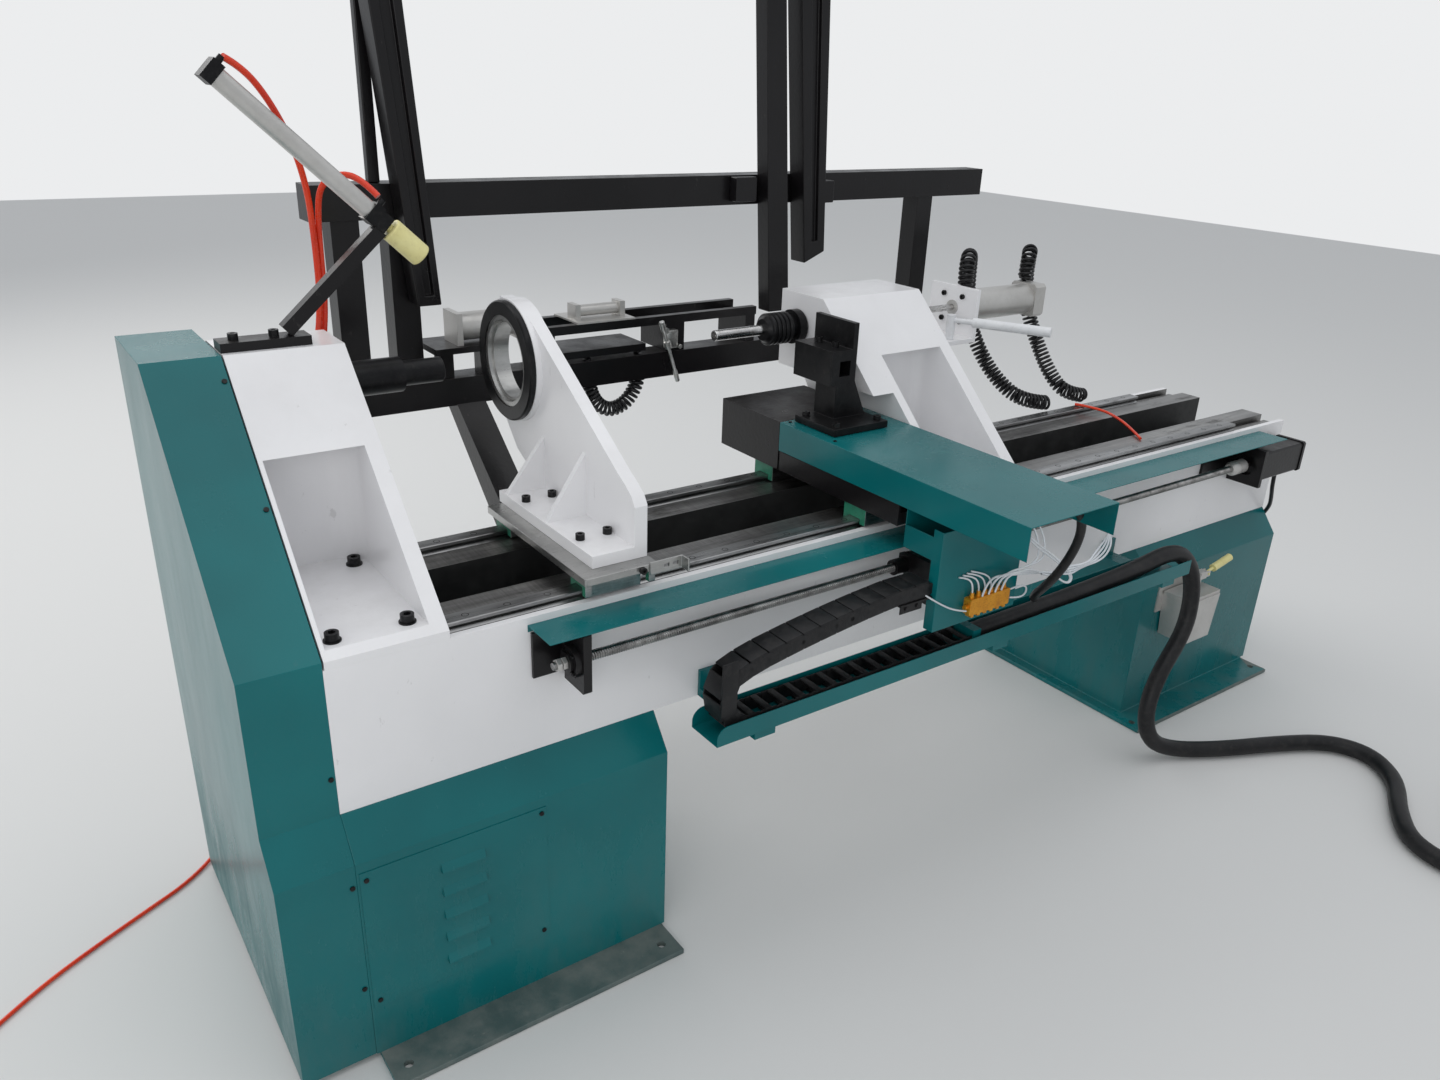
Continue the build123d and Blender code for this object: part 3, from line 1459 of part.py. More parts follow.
curl_d = 46.0
curl_a_route = [
    (1655, 310, 1166.6),
    (1662, 322, 1215),
    (1688, 340, 1256),
    (1722, 366, 1232),
    (1736, 376, 1160),
    (1752, 376, 1070),
    (1784, 350, 975),
    (1806, 286, 895),
    (1850, 214, 838),
    (1950, 196, 827),
]
curl_b_route = [
    (1911, 318, 1168.5),
    (1920, 322, 1215),
    (1944, 340, 1254),
    (1972, 364, 1228),
    (1984, 374, 1160),
    (2000, 366, 1070),
    (2018, 326, 975),
    (2020, 262, 890),
    (2040, 208, 838),
    (2120, 196, 827),
]
curl_a = hose(curl_a_route, curl_d, "curl_a")
curl_b = hose(curl_b_route, curl_d, "curl_b")
bed_hose_route = [
    (2050, 176, 814),
    (2085, 110, 812),
    (2060, 20, 806),
    (2010, -60, 802),
    (1975, -110, 798),
]
bed_hose = hose(bed_hose_route, air_d, "bed_hose")
join("coil_hoses", curl_a, curl_b)
join("frame_lines", arm_rear_hose, arm_front_hose, motor_cable, bed_hose)

tube_d = 4.0
lines = []
for k, (x, y, z) in enumerate(oil_ports):
    if k < 4:
        route = [
            (x, y, z + 4),
            (x - 2 - k, y - 2, z + 30),
            (x - 14 - 4 * k, y + 4, z + 48),
            (x - 40 - 8 * k, y + 7, z + 54 + 2 * k),
        ]
    else:
        route = [
            (x, y, z + 4),
            (x + 1, y - 6, z + 28),
            (x + 14, y - 16, z + 46),
            (x + 50, y - 24, z + 50),
            (x + 100, y - 20, z + 54),
            (x + 136, y + 14, z + 84),
            (x + 122, y + 50, z + 140),
            (1078 + 6 * k, y + 96, z + 184),
        ]
    lines.append(hose(route, tube_d, "oil_tube"))
conduit2_route = [
    (1098, -560, 925),
    (1128, -556, 880),
    (1146, -540, 820),
    (1150, -510, 750),
    (1158, -470, 690),
    (1190, -420, 640),
    (1240, -385, 606),
]
lines.append(hose(conduit2_route, 20.0, "carriage_conduit"))
join("carriage_lines", *lines)

# Feeder frame behind the bed
post = 60.0
feeder_y = 560.0
beam_z0 = 1385.0
beam_z1 = 1458.0
column_top = 2150.0
with BuildPart() as feeder_frame:
    with Locations((-43, feeder_y, beam_z0)):
        Box(1988, 70, beam_z1 - beam_z0, align=corner)
    with Locations((-30, feeder_y - 50, 975)):
        Box(1790, 70, 63, align=corner)
    for x in (0, 120, 1690):
        with Locations((x, feeder_y + 5, 980)):
            Box(post, post, 410, align=corner)
        with Locations((x, feeder_y - 30, 980)):
            Box(post, 95, 58, align=corner)
    for x in (230, 1500):
        strut = [
            (beam_outer, 640),
            (beam_outer, 740),
            (feeder_y - 40, 985),
            (feeder_y + 20, 985),
            (feeder_y + 20, 975),
        ]
        extrude(outline(strut, side_plane(x)), amount=70)
        with Locations((x, beam_outer, 590)):
            Box(70, 10, 190, align=corner)
save(feeder_frame, "feeder_frame")

column_y = feeder_y - 60
with BuildPart() as feeder_columns:
    for points, depth in (
        ([(153, 1208), (205, 1208), (140, column_top), (62, column_top)], 60),
        ([(1225, 1234), (1292, 1262), (1240, column_top), (1140, column_top)], 60),
        ([(1122, 1110), (1190, 1110), (1105, column_top), (1047, column_top)], 48),
    ):
        extrude(outline(points, front_plane(feeder_y - depth)), amount=-depth)
    for points in (
        [(170, 1230), (188, 1230), (117, column_top + 1), (86, column_top + 1)],
        [(1246, 1290), (1266, 1290), (1210, column_top + 1), (1176, column_top + 1)],
    ):
        extrude(outline(points, front_plane(column_y - 1)), amount=-13, mode=Mode.SUBTRACT)
    with Locations((92, feeder_y + 15, beam_z1)):
        Box(24, 24, column_top - beam_z1, align=corner)
    with Locations((1262, feeder_y - 60, 1388)):
        Box(50, 60, 56, align=corner)
    with Locations((1012, feeder_y - 30, 1395)):
        Box(66, 30, 60, align=corner)
save(feeder_columns, "feeder_columns")

with BuildPart() as feeder_table:
    for y in (feeder_y - 45, feeder_y + 60):
        with Locations((449, y, 1108)):
            Box(633, 20, 21, align=corner)
    with Locations((481, feeder_y - 45, 1047)):
        Box(257, 125, 18, align=corner)
    for x in (455, 799, 1048):
        with Locations((x, feeder_y - 45, 1038)):
            Box(30, 125, 71, align=corner)
    with Locations((799, feeder_y - 45, 1038)):
        Box(54, 18, 71, align=corner)
    with Locations((190, feeder_y - 45, 1092)):
        Box(146, 125, 14, align=corner)
    for x in (200, 296):
        with Locations((x, feeder_y - 45, 1038)):
            Box(30, 40, 55, align=corner)
save(feeder_table, "feeder_table")

with BuildPart() as feeder_pushers:
    for x0, x1, radius, seat in ((262, 400, 32, 1106), (572, 682, 14, 1133)):
        with Locations((x0, feeder_y + 8, seat + radius + 4)):
            Cylinder(radius, x1 - x0, rotation=(0, 90, 0), align=low)
        for x in (x0 - 14, x1):
            with Locations((x, feeder_y + 8, seat)):
                Box(14, 2 * radius + 14, 2 * radius + 8, align=(Align.MIN, Align.CENTER, Align.MIN))
    with Locations((627, feeder_y + 17.5, 1129)):
        Box(160, 125, 4, align=low)
save(feeder_pushers, "feeder_pushers")
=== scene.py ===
import json
import math

import bmesh
import bpy
from mathutils import Matrix, Vector


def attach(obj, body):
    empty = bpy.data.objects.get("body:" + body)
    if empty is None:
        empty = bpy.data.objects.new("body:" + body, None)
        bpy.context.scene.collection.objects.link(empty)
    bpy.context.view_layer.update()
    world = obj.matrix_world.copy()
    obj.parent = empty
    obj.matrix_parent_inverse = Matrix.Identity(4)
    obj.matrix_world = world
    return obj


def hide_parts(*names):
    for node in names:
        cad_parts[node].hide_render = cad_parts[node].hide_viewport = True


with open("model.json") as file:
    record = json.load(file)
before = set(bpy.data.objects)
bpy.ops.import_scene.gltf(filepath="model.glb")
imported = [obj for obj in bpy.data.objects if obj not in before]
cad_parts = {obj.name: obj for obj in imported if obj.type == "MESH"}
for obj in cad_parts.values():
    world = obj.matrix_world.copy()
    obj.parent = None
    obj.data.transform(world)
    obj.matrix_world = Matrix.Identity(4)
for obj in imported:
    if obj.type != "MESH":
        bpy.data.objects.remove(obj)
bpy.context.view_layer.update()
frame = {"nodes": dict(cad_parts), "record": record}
nodes = frame["nodes"]
scene = bpy.context.scene
print("frame loaded:", len(nodes), "nodes")

# Camera, floor and light
cameraSetup = {"lens": 27.425, "place": (-0.700, -1.808, 1.700)}
cameraAxes = Matrix((
    (0.81670011, 0.19985713, -0.54134837),
    (-0.57596431, 0.34015774, -0.74334233),
    (0.03558158, 0.91888511, 0.39291744),
))
camData = bpy.data.cameras.new("camera")
camData.lens = cameraSetup["lens"]
camData.sensor_width = 36
camData.clip_end = 60
camera = bpy.data.objects.new("camera", camData)
scene.collection.objects.link(camera)
camera.matrix_world = Matrix.Translation(cameraSetup["place"]) @ cameraAxes.to_4x4()
scene.camera = camera
scene.view_settings.view_transform = "Standard"

light = {
    "world": 0.62, "worldColor": (0.93, 0.96, 1.0, 1), "worldSeen": 0.93, "seenColor": (0.90, 0.91, 0.92, 1),
    "key": 130, "fill": 60, "front": 45, "floor": (0.72, 0.72, 0.71), "floorRough": 0.7,
}
world = bpy.data.worlds.new("studio")
scene.world = world
world.use_nodes = True
worldTree = world.node_tree
worldTree.nodes.clear()
worldOut = worldTree.nodes.new("ShaderNodeOutputWorld")
soft = worldTree.nodes.new("ShaderNodeBackground")
soft.inputs["Color"].default_value = light["worldColor"]
soft.inputs["Strength"].default_value = light["world"]
seen = worldTree.nodes.new("ShaderNodeBackground")
seen.inputs["Color"].default_value = light["seenColor"]
seen.inputs["Strength"].default_value = light["worldSeen"]
path = worldTree.nodes.new("ShaderNodeLightPath")
pick = worldTree.nodes.new("ShaderNodeMixShader")
worldTree.links.new(path.outputs["Is Camera Ray"], pick.inputs["Fac"])
worldTree.links.new(soft.outputs[0], pick.inputs[1])
worldTree.links.new(seen.outputs[0], pick.inputs[2])
worldTree.links.new(pick.outputs[0], worldOut.inputs["Surface"])


def areaLamp(name, place, aim, size, power, color):
    lamp = bpy.data.lights.new(name, "AREA")
    lamp.shape = "RECTANGLE"
    lamp.size, lamp.size_y = size
    lamp.energy = power
    lamp.color = color
    obj = bpy.data.objects.new(name, lamp)
    scene.collection.objects.link(obj)
    obj.location = place
    obj.rotation_mode = "QUATERNION"
    obj.rotation_quaternion = (Vector(aim) - Vector(place)).to_track_quat("-Z", "Y")


areaLamp("windowLamp", (-1.5, 5.0, 4.6), (0.8, 0, 0.8), (6, 3), light["key"], (1.0, 0.985, 0.96))
areaLamp("roofLamp", (1.0, -0.5, 5.2), (1.0, 0, 0), (6, 5), light["fill"], (1.0, 1.0, 1.0))
areaLamp("frontLamp", (-3.4, -4.2, 2.6), (0.4, 0, 0.6), (3, 2.4), light["front"], (1.0, 0.99, 0.97))


# Materials: small helpers over the node tree
def newMaterial(name, rough=0.5, metallic=0.0, coat=0.0, coatRough=0.1, specular=0.5):
    mat = bpy.data.materials.new(name)
    mat.use_nodes = True
    tree = mat.node_tree
    shader = tree.nodes["Principled BSDF"]
    shader.inputs["Roughness"].default_value = rough
    shader.inputs["Metallic"].default_value = metallic
    shader.inputs["Coat Weight"].default_value = coat
    shader.inputs["Coat Roughness"].default_value = coatRough
    shader.inputs["Specular IOR Level"].default_value = specular
    coords = tree.nodes.new("ShaderNodeTexCoord")
    return mat, tree, shader, coords.outputs["Object"]


def stretched(tree, vector, scale):
    mapping = tree.nodes.new("ShaderNodeMapping")
    mapping.inputs["Scale"].default_value = scale
    tree.links.new(vector, mapping.inputs["Vector"])
    return mapping.outputs["Vector"]


def noise(tree, vector, scale, detail=4, rough=0.55, stretch=None):
    node = tree.nodes.new("ShaderNodeTexNoise")
    node.inputs["Scale"].default_value = scale
    node.inputs["Detail"].default_value = detail
    node.inputs["Roughness"].default_value = rough
    tree.links.new(stretched(tree, vector, stretch) if stretch else vector, node.inputs["Vector"])
    return node.outputs["Fac"]


def ramp(tree, value, stops):
    node = tree.nodes.new("ShaderNodeValToRGB")
    elements = node.color_ramp.elements
    while len(elements) < len(stops):
        elements.new(0.5)
    for element, (place, color) in zip(elements, stops):
        element.position = place
        element.color = (*color, 1) if hasattr(color, "__len__") else (color, color, color, 1)
    tree.links.new(value, node.inputs["Fac"])
    return node.outputs["Color"]


def mixed(tree, factor, first, second, mode="MIX"):
    node = tree.nodes.new("ShaderNodeMix")
    node.data_type = "RGBA"
    node.blend_type = mode
    for socket, value in ((node.inputs[0], factor), (node.inputs[6], first), (node.inputs[7], second)):
        if hasattr(value, "links"):
            tree.links.new(value, socket)
        elif hasattr(value, "__len__"):
            socket.default_value = (*value, 1)
        else:
            socket.default_value = value
    return node.outputs[2]


def reckon(tree, kind, first, second=0.5, third=None):
    node = tree.nodes.new("ShaderNodeMath")
    node.operation = kind
    for socket, value in zip(node.inputs, (first, second, third)):
        if hasattr(value, "links"):
            tree.links.new(value, socket)
        elif value is not None:
            socket.default_value = value
    return node.outputs[0]


def partsOf(tree, vector):
    node = tree.nodes.new("ShaderNodeSeparateXYZ")
    tree.links.new(vector, node.inputs[0])
    return node.outputs


def facing(tree):
    normal = tree.nodes.new("ShaderNodeNewGeometry")
    split = tree.nodes.new("ShaderNodeSeparateXYZ")
    tree.links.new(normal.outputs["Normal"], split.inputs[0])
    return split.outputs


def bumped(tree, shader, height, strength, distance):
    node = tree.nodes.new("ShaderNodeBump")
    node.inputs["Strength"].default_value = strength
    node.inputs["Distance"].default_value = distance
    tree.links.new(height, node.inputs["Height"])
    tree.links.new(node.outputs["Normal"], shader.inputs["Normal"])


def finishWith(tree, shader, color, rough):
    tree.links.new(color, shader.inputs["Base Color"])
    tree.links.new(rough, shader.inputs["Roughness"])


def paint(name, look):
    mat, tree, shader, at = newMaterial(name, coat=look["coat"], coatRough=look["coatRough"],
                                        specular=look.get("specular", 0.5))
    cloud = noise(tree, at, 2.3, 3)
    grime = noise(tree, at, 9, 6, 0.68, look.get("streak", (1, 1, 0.35)))
    speck = noise(tree, at, 160, 3, 0.5)
    color = ramp(tree, cloud, [(0.32, look["dark"]), (0.68, look["light"])])
    low = ramp(tree, partsOf(tree, at)[2], [(0.0, 1.0), (look["dustTop"], 0.0)])
    up = ramp(tree, facing(tree)[2], [(0.5, 0.0), (0.98, 1.0)])
    settled = reckon(tree, "MAXIMUM", low, reckon(tree, "MULTIPLY", up, look["topDust"]))
    dust = reckon(tree, "MULTIPLY", ramp(tree, grime, [(0.42, 0.0), (0.72, 1.0)]), settled)
    color = mixed(tree, reckon(tree, "MULTIPLY", dust, look["dustAmount"]), color, look["dust"])
    marks = ramp(tree, noise(tree, at, 38, 5, 0.7, (1, 1, 0.5)), [(0.66, 0.0), (0.72, 1.0)])
    color = mixed(tree, reckon(tree, "MULTIPLY", marks, look["marks"]), color, look["markColor"])
    base = reckon(tree, "MULTIPLY_ADD", grime, 0.16, look["rough"] - 0.08)
    rough = reckon(tree, "ADD", reckon(tree, "MULTIPLY", dust, 0.35), base)
    finishWith(tree, shader, color, rough)
    skin = reckon(tree, "MULTIPLY", noise(tree, at, look["peelScale"], 2), 1.0)
    peel = reckon(tree, "ADD", skin, reckon(tree, "MULTIPLY", speck, 0.15))
    peel = reckon(tree, "ADD", peel, reckon(tree, "MULTIPLY", noise(tree, at, 3.5, 1), look.get("wave", 0.0)))
    bumped(tree, shader, peel, look["peel"], 0.0015)
    return mat


whitePaint = paint("castingWhite", {
    "dark": (0.80, 0.795, 0.805), "light": (0.88, 0.875, 0.885), "dust": (0.42, 0.40, 0.37), "dustTop": 0.25,
    "topDust": 0.5, "dustAmount": 0.30, "marks": 0.28, "markColor": (0.30, 0.29, 0.28), "rough": 0.32,
    "coat": 0.30, "coatRough": 0.14, "peelScale": 46, "peel": 0.30, "wave": 2.0,
})
tealPaint = paint("sheetTeal", {
    "dark": (0.0015, 0.118, 0.128), "light": (0.002, 0.158, 0.168), "dust": (0.10, 0.15, 0.145),
    "dustTop": 0.40, "topDust": 0.15, "dustAmount": 0.40, "marks": 0.16, "markColor": (0.06, 0.16, 0.16),
    "rough": 0.24, "specular": 0.32, "coat": 0.06, "coatRough": 0.10, "peelScale": 120, "peel": 0.16,
    "wave": 2.5,
})
basePaint = paint("footPlatePaint", {
    "dark": (0.052, 0.086, 0.085), "light": (0.088, 0.130, 0.125), "dust": (0.24, 0.25, 0.23),
    "dustTop": 0.30, "topDust": 1.0, "dustAmount": 0.55, "marks": 0.5, "markColor": (0.30, 0.30, 0.28),
    "rough": 0.5, "coat": 0.1, "coatRough": 0.3, "peelScale": 90, "peel": 0.3,
})
blackPaint = paint("enamelBlack", {
    "dark": (0.004, 0.0035, 0.004), "light": (0.010, 0.009, 0.010), "dust": (0.12, 0.11, 0.10),
    "dustTop": 0.2, "topDust": 0.7, "dustAmount": 0.22, "marks": 0.25, "markColor": (0.08, 0.075, 0.07),
    "rough": 0.30, "specular": 0.28, "coat": 0.08, "coatRough": 0.15, "peelScale": 100, "peel": 0.25,
    "wave": 1.0,
})


def metal(name, look):
    mat, tree, shader, at = newMaterial(name, metallic=look.get("metallic", 1.0),
                                        specular=look.get("specular", 0.5))
    grain = noise(tree, at, look["grain"], 3, 0.6, look["along"])
    cloud = noise(tree, at, look["cloud"], 5, 0.65, look.get("cloudAlong", (1, 1, 1)))
    color = ramp(tree, cloud, [(0.30, look["dark"]), (0.52, look["middle"]), (0.74, look["light"])])
    color = mixed(tree, look.get("contrast", 0.35), color, ramp(tree, grain, [(0.3, 0.25), (0.7, 0.85)]),
                  "OVERLAY")
    blots = noise(tree, at, look["stainScale"], 6, 0.7, look.get("stainAlong", (1, 1, 1)))
    stain = ramp(tree, blots, [(0.55, 0.0), (0.70, 1.0)])
    color = mixed(tree, reckon(tree, "MULTIPLY", stain, look["stain"]), color, look["stainColor"])
    base = reckon(tree, "MULTIPLY_ADD", grain, 0.18, look["rough"] - 0.09)
    rough = reckon(tree, "ADD", base, reckon(tree, "MULTIPLY", stain, 0.15))
    finishWith(tree, shader, color, rough)
    bumped(tree, shader, grain, look["bump"], 0.0004)
    return mat


alongX = (0.04, 1, 1)
railSteel = metal("railSteel", {
    "grain": 420, "along": alongX, "cloud": 14, "cloudAlong": (0.12, 1.5, 1), "dark": (0.16, 0.16, 0.16),
    "middle": (0.34, 0.34, 0.34), "light": (0.52, 0.52, 0.52), "stainScale": 20, "stainAlong": (0.3, 1, 1),
    "stain": 0.6, "stainColor": (0.05, 0.045, 0.04), "rough": 0.30, "bump": 0.18,
})
bedSteel = metal("planedBed", {
    "grain": 300, "along": (1, 0.05, 1), "cloud": 11, "cloudAlong": (0.10, 1.6, 1),
    "dark": (0.11, 0.107, 0.103), "middle": (0.27, 0.265, 0.26), "light": (0.46, 0.455, 0.44),
    "stainScale": 26, "stainAlong": (0.25, 1, 1), "stain": 0.70, "stainColor": (0.04, 0.037, 0.034),
    "rough": 0.36, "bump": 0.3,
})
blockSteel = metal("runnerSteel", {
    "grain": 500, "along": alongX, "cloud": 18, "dark": (0.22, 0.22, 0.22), "middle": (0.38, 0.38, 0.38),
    "light": (0.55, 0.55, 0.55), "stainScale": 40, "stain": 0.35, "stainColor": (0.06, 0.055, 0.05),
    "rough": 0.3, "bump": 0.12,
})
groundSteel = metal("groundSteel", {
    "grain": 520, "along": (1, 1, 1), "cloud": 22, "dark": (0.38, 0.37, 0.36), "middle": (0.55, 0.545, 0.54),
    "light": (0.72, 0.72, 0.71), "stainScale": 60, "stain": 0.45, "stainColor": (0.14, 0.12, 0.10),
    "rough": 0.22, "bump": 0.1,
})
satinSteel = metal("satinBore", {
    "grain": 200, "along": (0.1, 1, 1), "cloud": 8, "dark": (0.34, 0.34, 0.335),
    "middle": (0.42, 0.42, 0.41), "light": (0.50, 0.50, 0.49), "stainScale": 20, "stain": 0.2,
    "stainColor": (0.20, 0.19, 0.18), "rough": 0.30, "bump": 0.05, "metallic": 0.9, "contrast": 0.12,
})
threadSteel = metal("threadSteel", {
    "grain": 520, "along": (1, 1, 1), "cloud": 22, "dark": (0.14, 0.135, 0.13),
    "middle": (0.30, 0.295, 0.29), "light": (0.50, 0.50, 0.49), "stainScale": 30, "stain": 0.6,
    "stainColor": (0.05, 0.045, 0.04), "rough": 0.34, "bump": 0.1,
})
oxideSteel = metal("blackOxide", {
    "grain": 380, "along": (1, 1, 1), "cloud": 16, "dark": (0.006, 0.006, 0.007),
    "middle": (0.012, 0.012, 0.013), "light": (0.022, 0.022, 0.023), "stainScale": 55, "stain": 0.25,
    "stainColor": (0.06, 0.055, 0.05), "rough": 0.34, "bump": 0.2, "metallic": 0.5, "specular": 0.3,
})
boltOxide = metal("boltOxide", {
    "grain": 600, "along": (1, 1, 1), "cloud": 60, "dark": (0.010, 0.010, 0.011),
    "middle": (0.018, 0.018, 0.019), "light": (0.045, 0.045, 0.045), "stainScale": 180, "stain": 0.3,
    "stainColor": (0.08, 0.075, 0.07), "rough": 0.36, "bump": 0.15, "metallic": 0.6, "specular": 0.3,
})
zincSteel = metal("zincSteel", {
    "grain": 300, "along": (1, 1, 1), "cloud": 60, "dark": (0.42, 0.42, 0.40), "middle": (0.58, 0.58, 0.56),
    "light": (0.72, 0.72, 0.70), "stainScale": 120, "stain": 0.3, "stainColor": (0.18, 0.16, 0.13),
    "rough": 0.32, "bump": 0.15,
})
aluminium = metal("drawnAluminium", {
    "grain": 90, "along": (1, 1, 1), "cloud": 9, "dark": (0.50, 0.49, 0.47), "middle": (0.54, 0.53, 0.51),
    "light": (0.60, 0.59, 0.57), "stainScale": 14, "stain": 0.10, "stainColor": (0.36, 0.35, 0.33),
    "rough": 0.36, "bump": 0.03, "metallic": 0.55, "contrast": 0.06,
})
castIron = metal("motorCasting", {
    "grain": 140, "along": (1, 1, 1), "cloud": 14, "dark": (0.10, 0.11, 0.11), "middle": (0.16, 0.17, 0.17),
    "light": (0.22, 0.23, 0.23), "stainScale": 20, "stain": 0.3, "stainColor": (0.06, 0.055, 0.05),
    "rough": 0.55, "bump": 0.6, "metallic": 0.2,
})
orangeMetal = metal("orangeAnodised", {
    "grain": 300, "along": (1, 1, 1), "cloud": 40, "dark": (0.62, 0.24, 0.015), "middle": (0.76, 0.32, 0.02),
    "light": (0.86, 0.42, 0.04), "stainScale": 60, "stain": 0.35, "stainColor": (0.35, 0.14, 0.02),
    "rough": 0.3, "bump": 0.12, "metallic": 0.45,
})


def plastic(name, look):
    mat, tree, shader, at = newMaterial(name, specular=look.get("specular", 0.5))
    cloud = noise(tree, at, look.get("cloud", 14), 4)
    grime = ramp(tree, noise(tree, at, 55, 5, 0.7), [(0.5, 0.0), (0.72, 1.0)])
    color = ramp(tree, cloud, [(0.3, look["dark"]), (0.7, look["light"])])
    color = mixed(tree, reckon(tree, "MULTIPLY", grime, look["grime"]), color, look["grimeColor"])
    rough = reckon(tree, "MULTIPLY_ADD", grime, 0.2, look["rough"])
    finishWith(tree, shader, color, rough)
    bumped(tree, shader, noise(tree, at, look["grainScale"], 2), look["bump"], 0.0005)
    return mat


blackPlastic = plastic("chainNylon", {
    "specular": 0.28, "dark": (0.007, 0.007, 0.008), "light": (0.014, 0.014, 0.015), "grime": 0.30,
    "grimeColor": (0.07, 0.065, 0.06), "rough": 0.42, "grainScale": 700, "bump": 0.2,
})
blackRubber = plastic("blackCurl", {
    "specular": 0.35, "dark": (0.006, 0.006, 0.007), "light": (0.012, 0.012, 0.013), "grime": 0.15,
    "grimeColor": (0.06, 0.06, 0.06), "rough": 0.30, "grainScale": 500, "bump": 0.1,
})
beltRubber = plastic("beltRubber", {
    "dark": (0.010, 0.010, 0.010), "light": (0.020, 0.020, 0.020), "grime": 0.4,
    "grimeColor": (0.08, 0.075, 0.07), "rough": 0.65, "grainScale": 400, "bump": 0.4,
})
redTube = plastic("redAirTube", {
    "dark": (0.72, 0.035, 0.010), "light": (0.86, 0.060, 0.014), "grime": 0.2,
    "grimeColor": (0.35, 0.05, 0.03), "rough": 0.22, "grainScale": 300, "bump": 0.05,
})
whiteTube = plastic("whiteOilTube", {
    "dark": (0.62, 0.66, 0.70), "light": (0.76, 0.79, 0.82), "grime": 0.25, "grimeColor": (0.40, 0.38, 0.33),
    "rough": 0.22, "grainScale": 300, "bump": 0.05,
})
creamPlastic = plastic("creamNylon", {
    "dark": (0.70, 0.62, 0.24), "light": (0.82, 0.76, 0.36), "grime": 0.35, "grimeColor": (0.50, 0.42, 0.20),
    "rough": 0.36, "grainScale": 220, "bump": 0.25,
})
whitePlastic = plastic("leverWhite", {
    "dark": (0.70, 0.71, 0.73), "light": (0.82, 0.83, 0.84), "grime": 0.3, "grimeColor": (0.48, 0.47, 0.45),
    "rough": 0.33, "grainScale": 200, "bump": 0.15,
})
sealGreen = plastic("sealGreen", {
    "dark": (0.010, 0.16, 0.09), "light": (0.02, 0.24, 0.14), "grime": 0.4, "grimeColor": (0.03, 0.06, 0.05),
    "rough": 0.4, "grainScale": 300, "bump": 0.1,
})
# Near-black painted shade: flat discs in the rail screw holes and the faces deep between the bed beams
paintedShadeDark = plastic("holeShadow", {
    "dark": (0.006, 0.006, 0.006), "light": (0.02, 0.02, 0.02), "grime": 0.3,
    "grimeColor": (0.05, 0.05, 0.045), "rough": 0.6, "grainScale": 300, "bump": 0.2,
})
print("materials made:", len(bpy.data.materials))


# Dressing the CAD nodes: each face takes the first finish whose test it meets
def dress(nodeName, *rules):
    obj = nodes[nodeName]
    mesh = obj.data
    mesh.materials.clear()
    for rule in rules:
        mesh.materials.append(rule[0])
    for poly in mesh.polygons:
        for index, rule in enumerate(rules):
            if len(rule) == 1 or rule[1](poly.center, poly.normal):
                poly.material_index = index
                break


# Cords: routes in mm, with the same points as the solids where they hold the same cord
cordLooks = {"turnPoints": 12, "turnStep": 30, "climbPoints": 4}


def routeCurve(name, points, radius, material, steps=8, sides=4):
    data = bpy.data.curves.new(name, "CURVE")
    data.dimensions = "3D"
    data.resolution_u = steps
    data.bevel_depth = radius
    data.bevel_resolution = sides
    data.use_fill_caps = True
    spline = data.splines.new("NURBS")
    spline.points.add(len(points) - 1)
    for spot, (x, y, z) in zip(spline.points, points):
        spot.co = (x / 1000, y / 1000, z / 1000, 1)
    spline.order_u = 3
    spline.use_endpoint_u = True
    obj = bpy.data.objects.new(name, data)
    scene.collection.objects.link(obj)
    if material:
        data.materials.append(material)
    return obj


def lineOf(obj):
    data = obj.data.copy()
    data.bevel_depth = 0
    bare = bpy.data.objects.new("bare", data)
    scene.collection.objects.link(bare)
    bpy.context.view_layer.update()
    mesh = bpy.data.meshes.new_from_object(bare.evaluated_get(bpy.context.evaluated_depsgraph_get()))
    spots = [v.co.copy() for v in mesh.vertices]
    bpy.data.objects.remove(bare)
    bpy.data.meshes.remove(mesh)
    return spots


def lengthOf(spots):
    return sum((b - a).length for a, b in zip(spots, spots[1:]))


def keep(name, bm, material, smooth=True):
    mesh = bpy.data.meshes.new(name)
    bmesh.ops.recalc_face_normals(bm, faces=bm.faces)
    for face in bm.faces:
        face.smooth = smooth
    bm.to_mesh(mesh)
    bm.free()
    mesh.materials.append(material)
    obj = bpy.data.objects.new(name, mesh)
    scene.collection.objects.link(obj)
    return obj


def turned(bm, profile, place, direction, steps=32):
    axis = Vector(direction).normalized()
    frameTo = axis.to_track_quat("Z", "Y").to_matrix().to_4x4()
    frameTo.translation = Vector(place) / 1000
    made = [bm.verts.new((radius / 1000, 0, along / 1000)) for along, radius in profile]
    edges = [bm.edges.new(pair) for pair in zip(made, made[1:])]
    bmesh.ops.spin(bm, geom=made + edges, cent=(0, 0, 0), axis=(0, 0, 1), angle=math.tau, steps=steps,
                   use_merge=True)
    fresh = {v for edge in edges for v in edge.verts}
    todo = list(fresh)
    while todo:
        for edge in todo.pop().link_edges:
            for v in edge.verts:
                if v not in fresh:
                    fresh.add(v)
                    todo.append(v)
    fresh = [v for v in fresh if v.is_valid]
    bmesh.ops.transform(bm, matrix=frameTo, verts=fresh)
    bmesh.ops.remove_doubles(bm, verts=fresh, dist=0.00001)


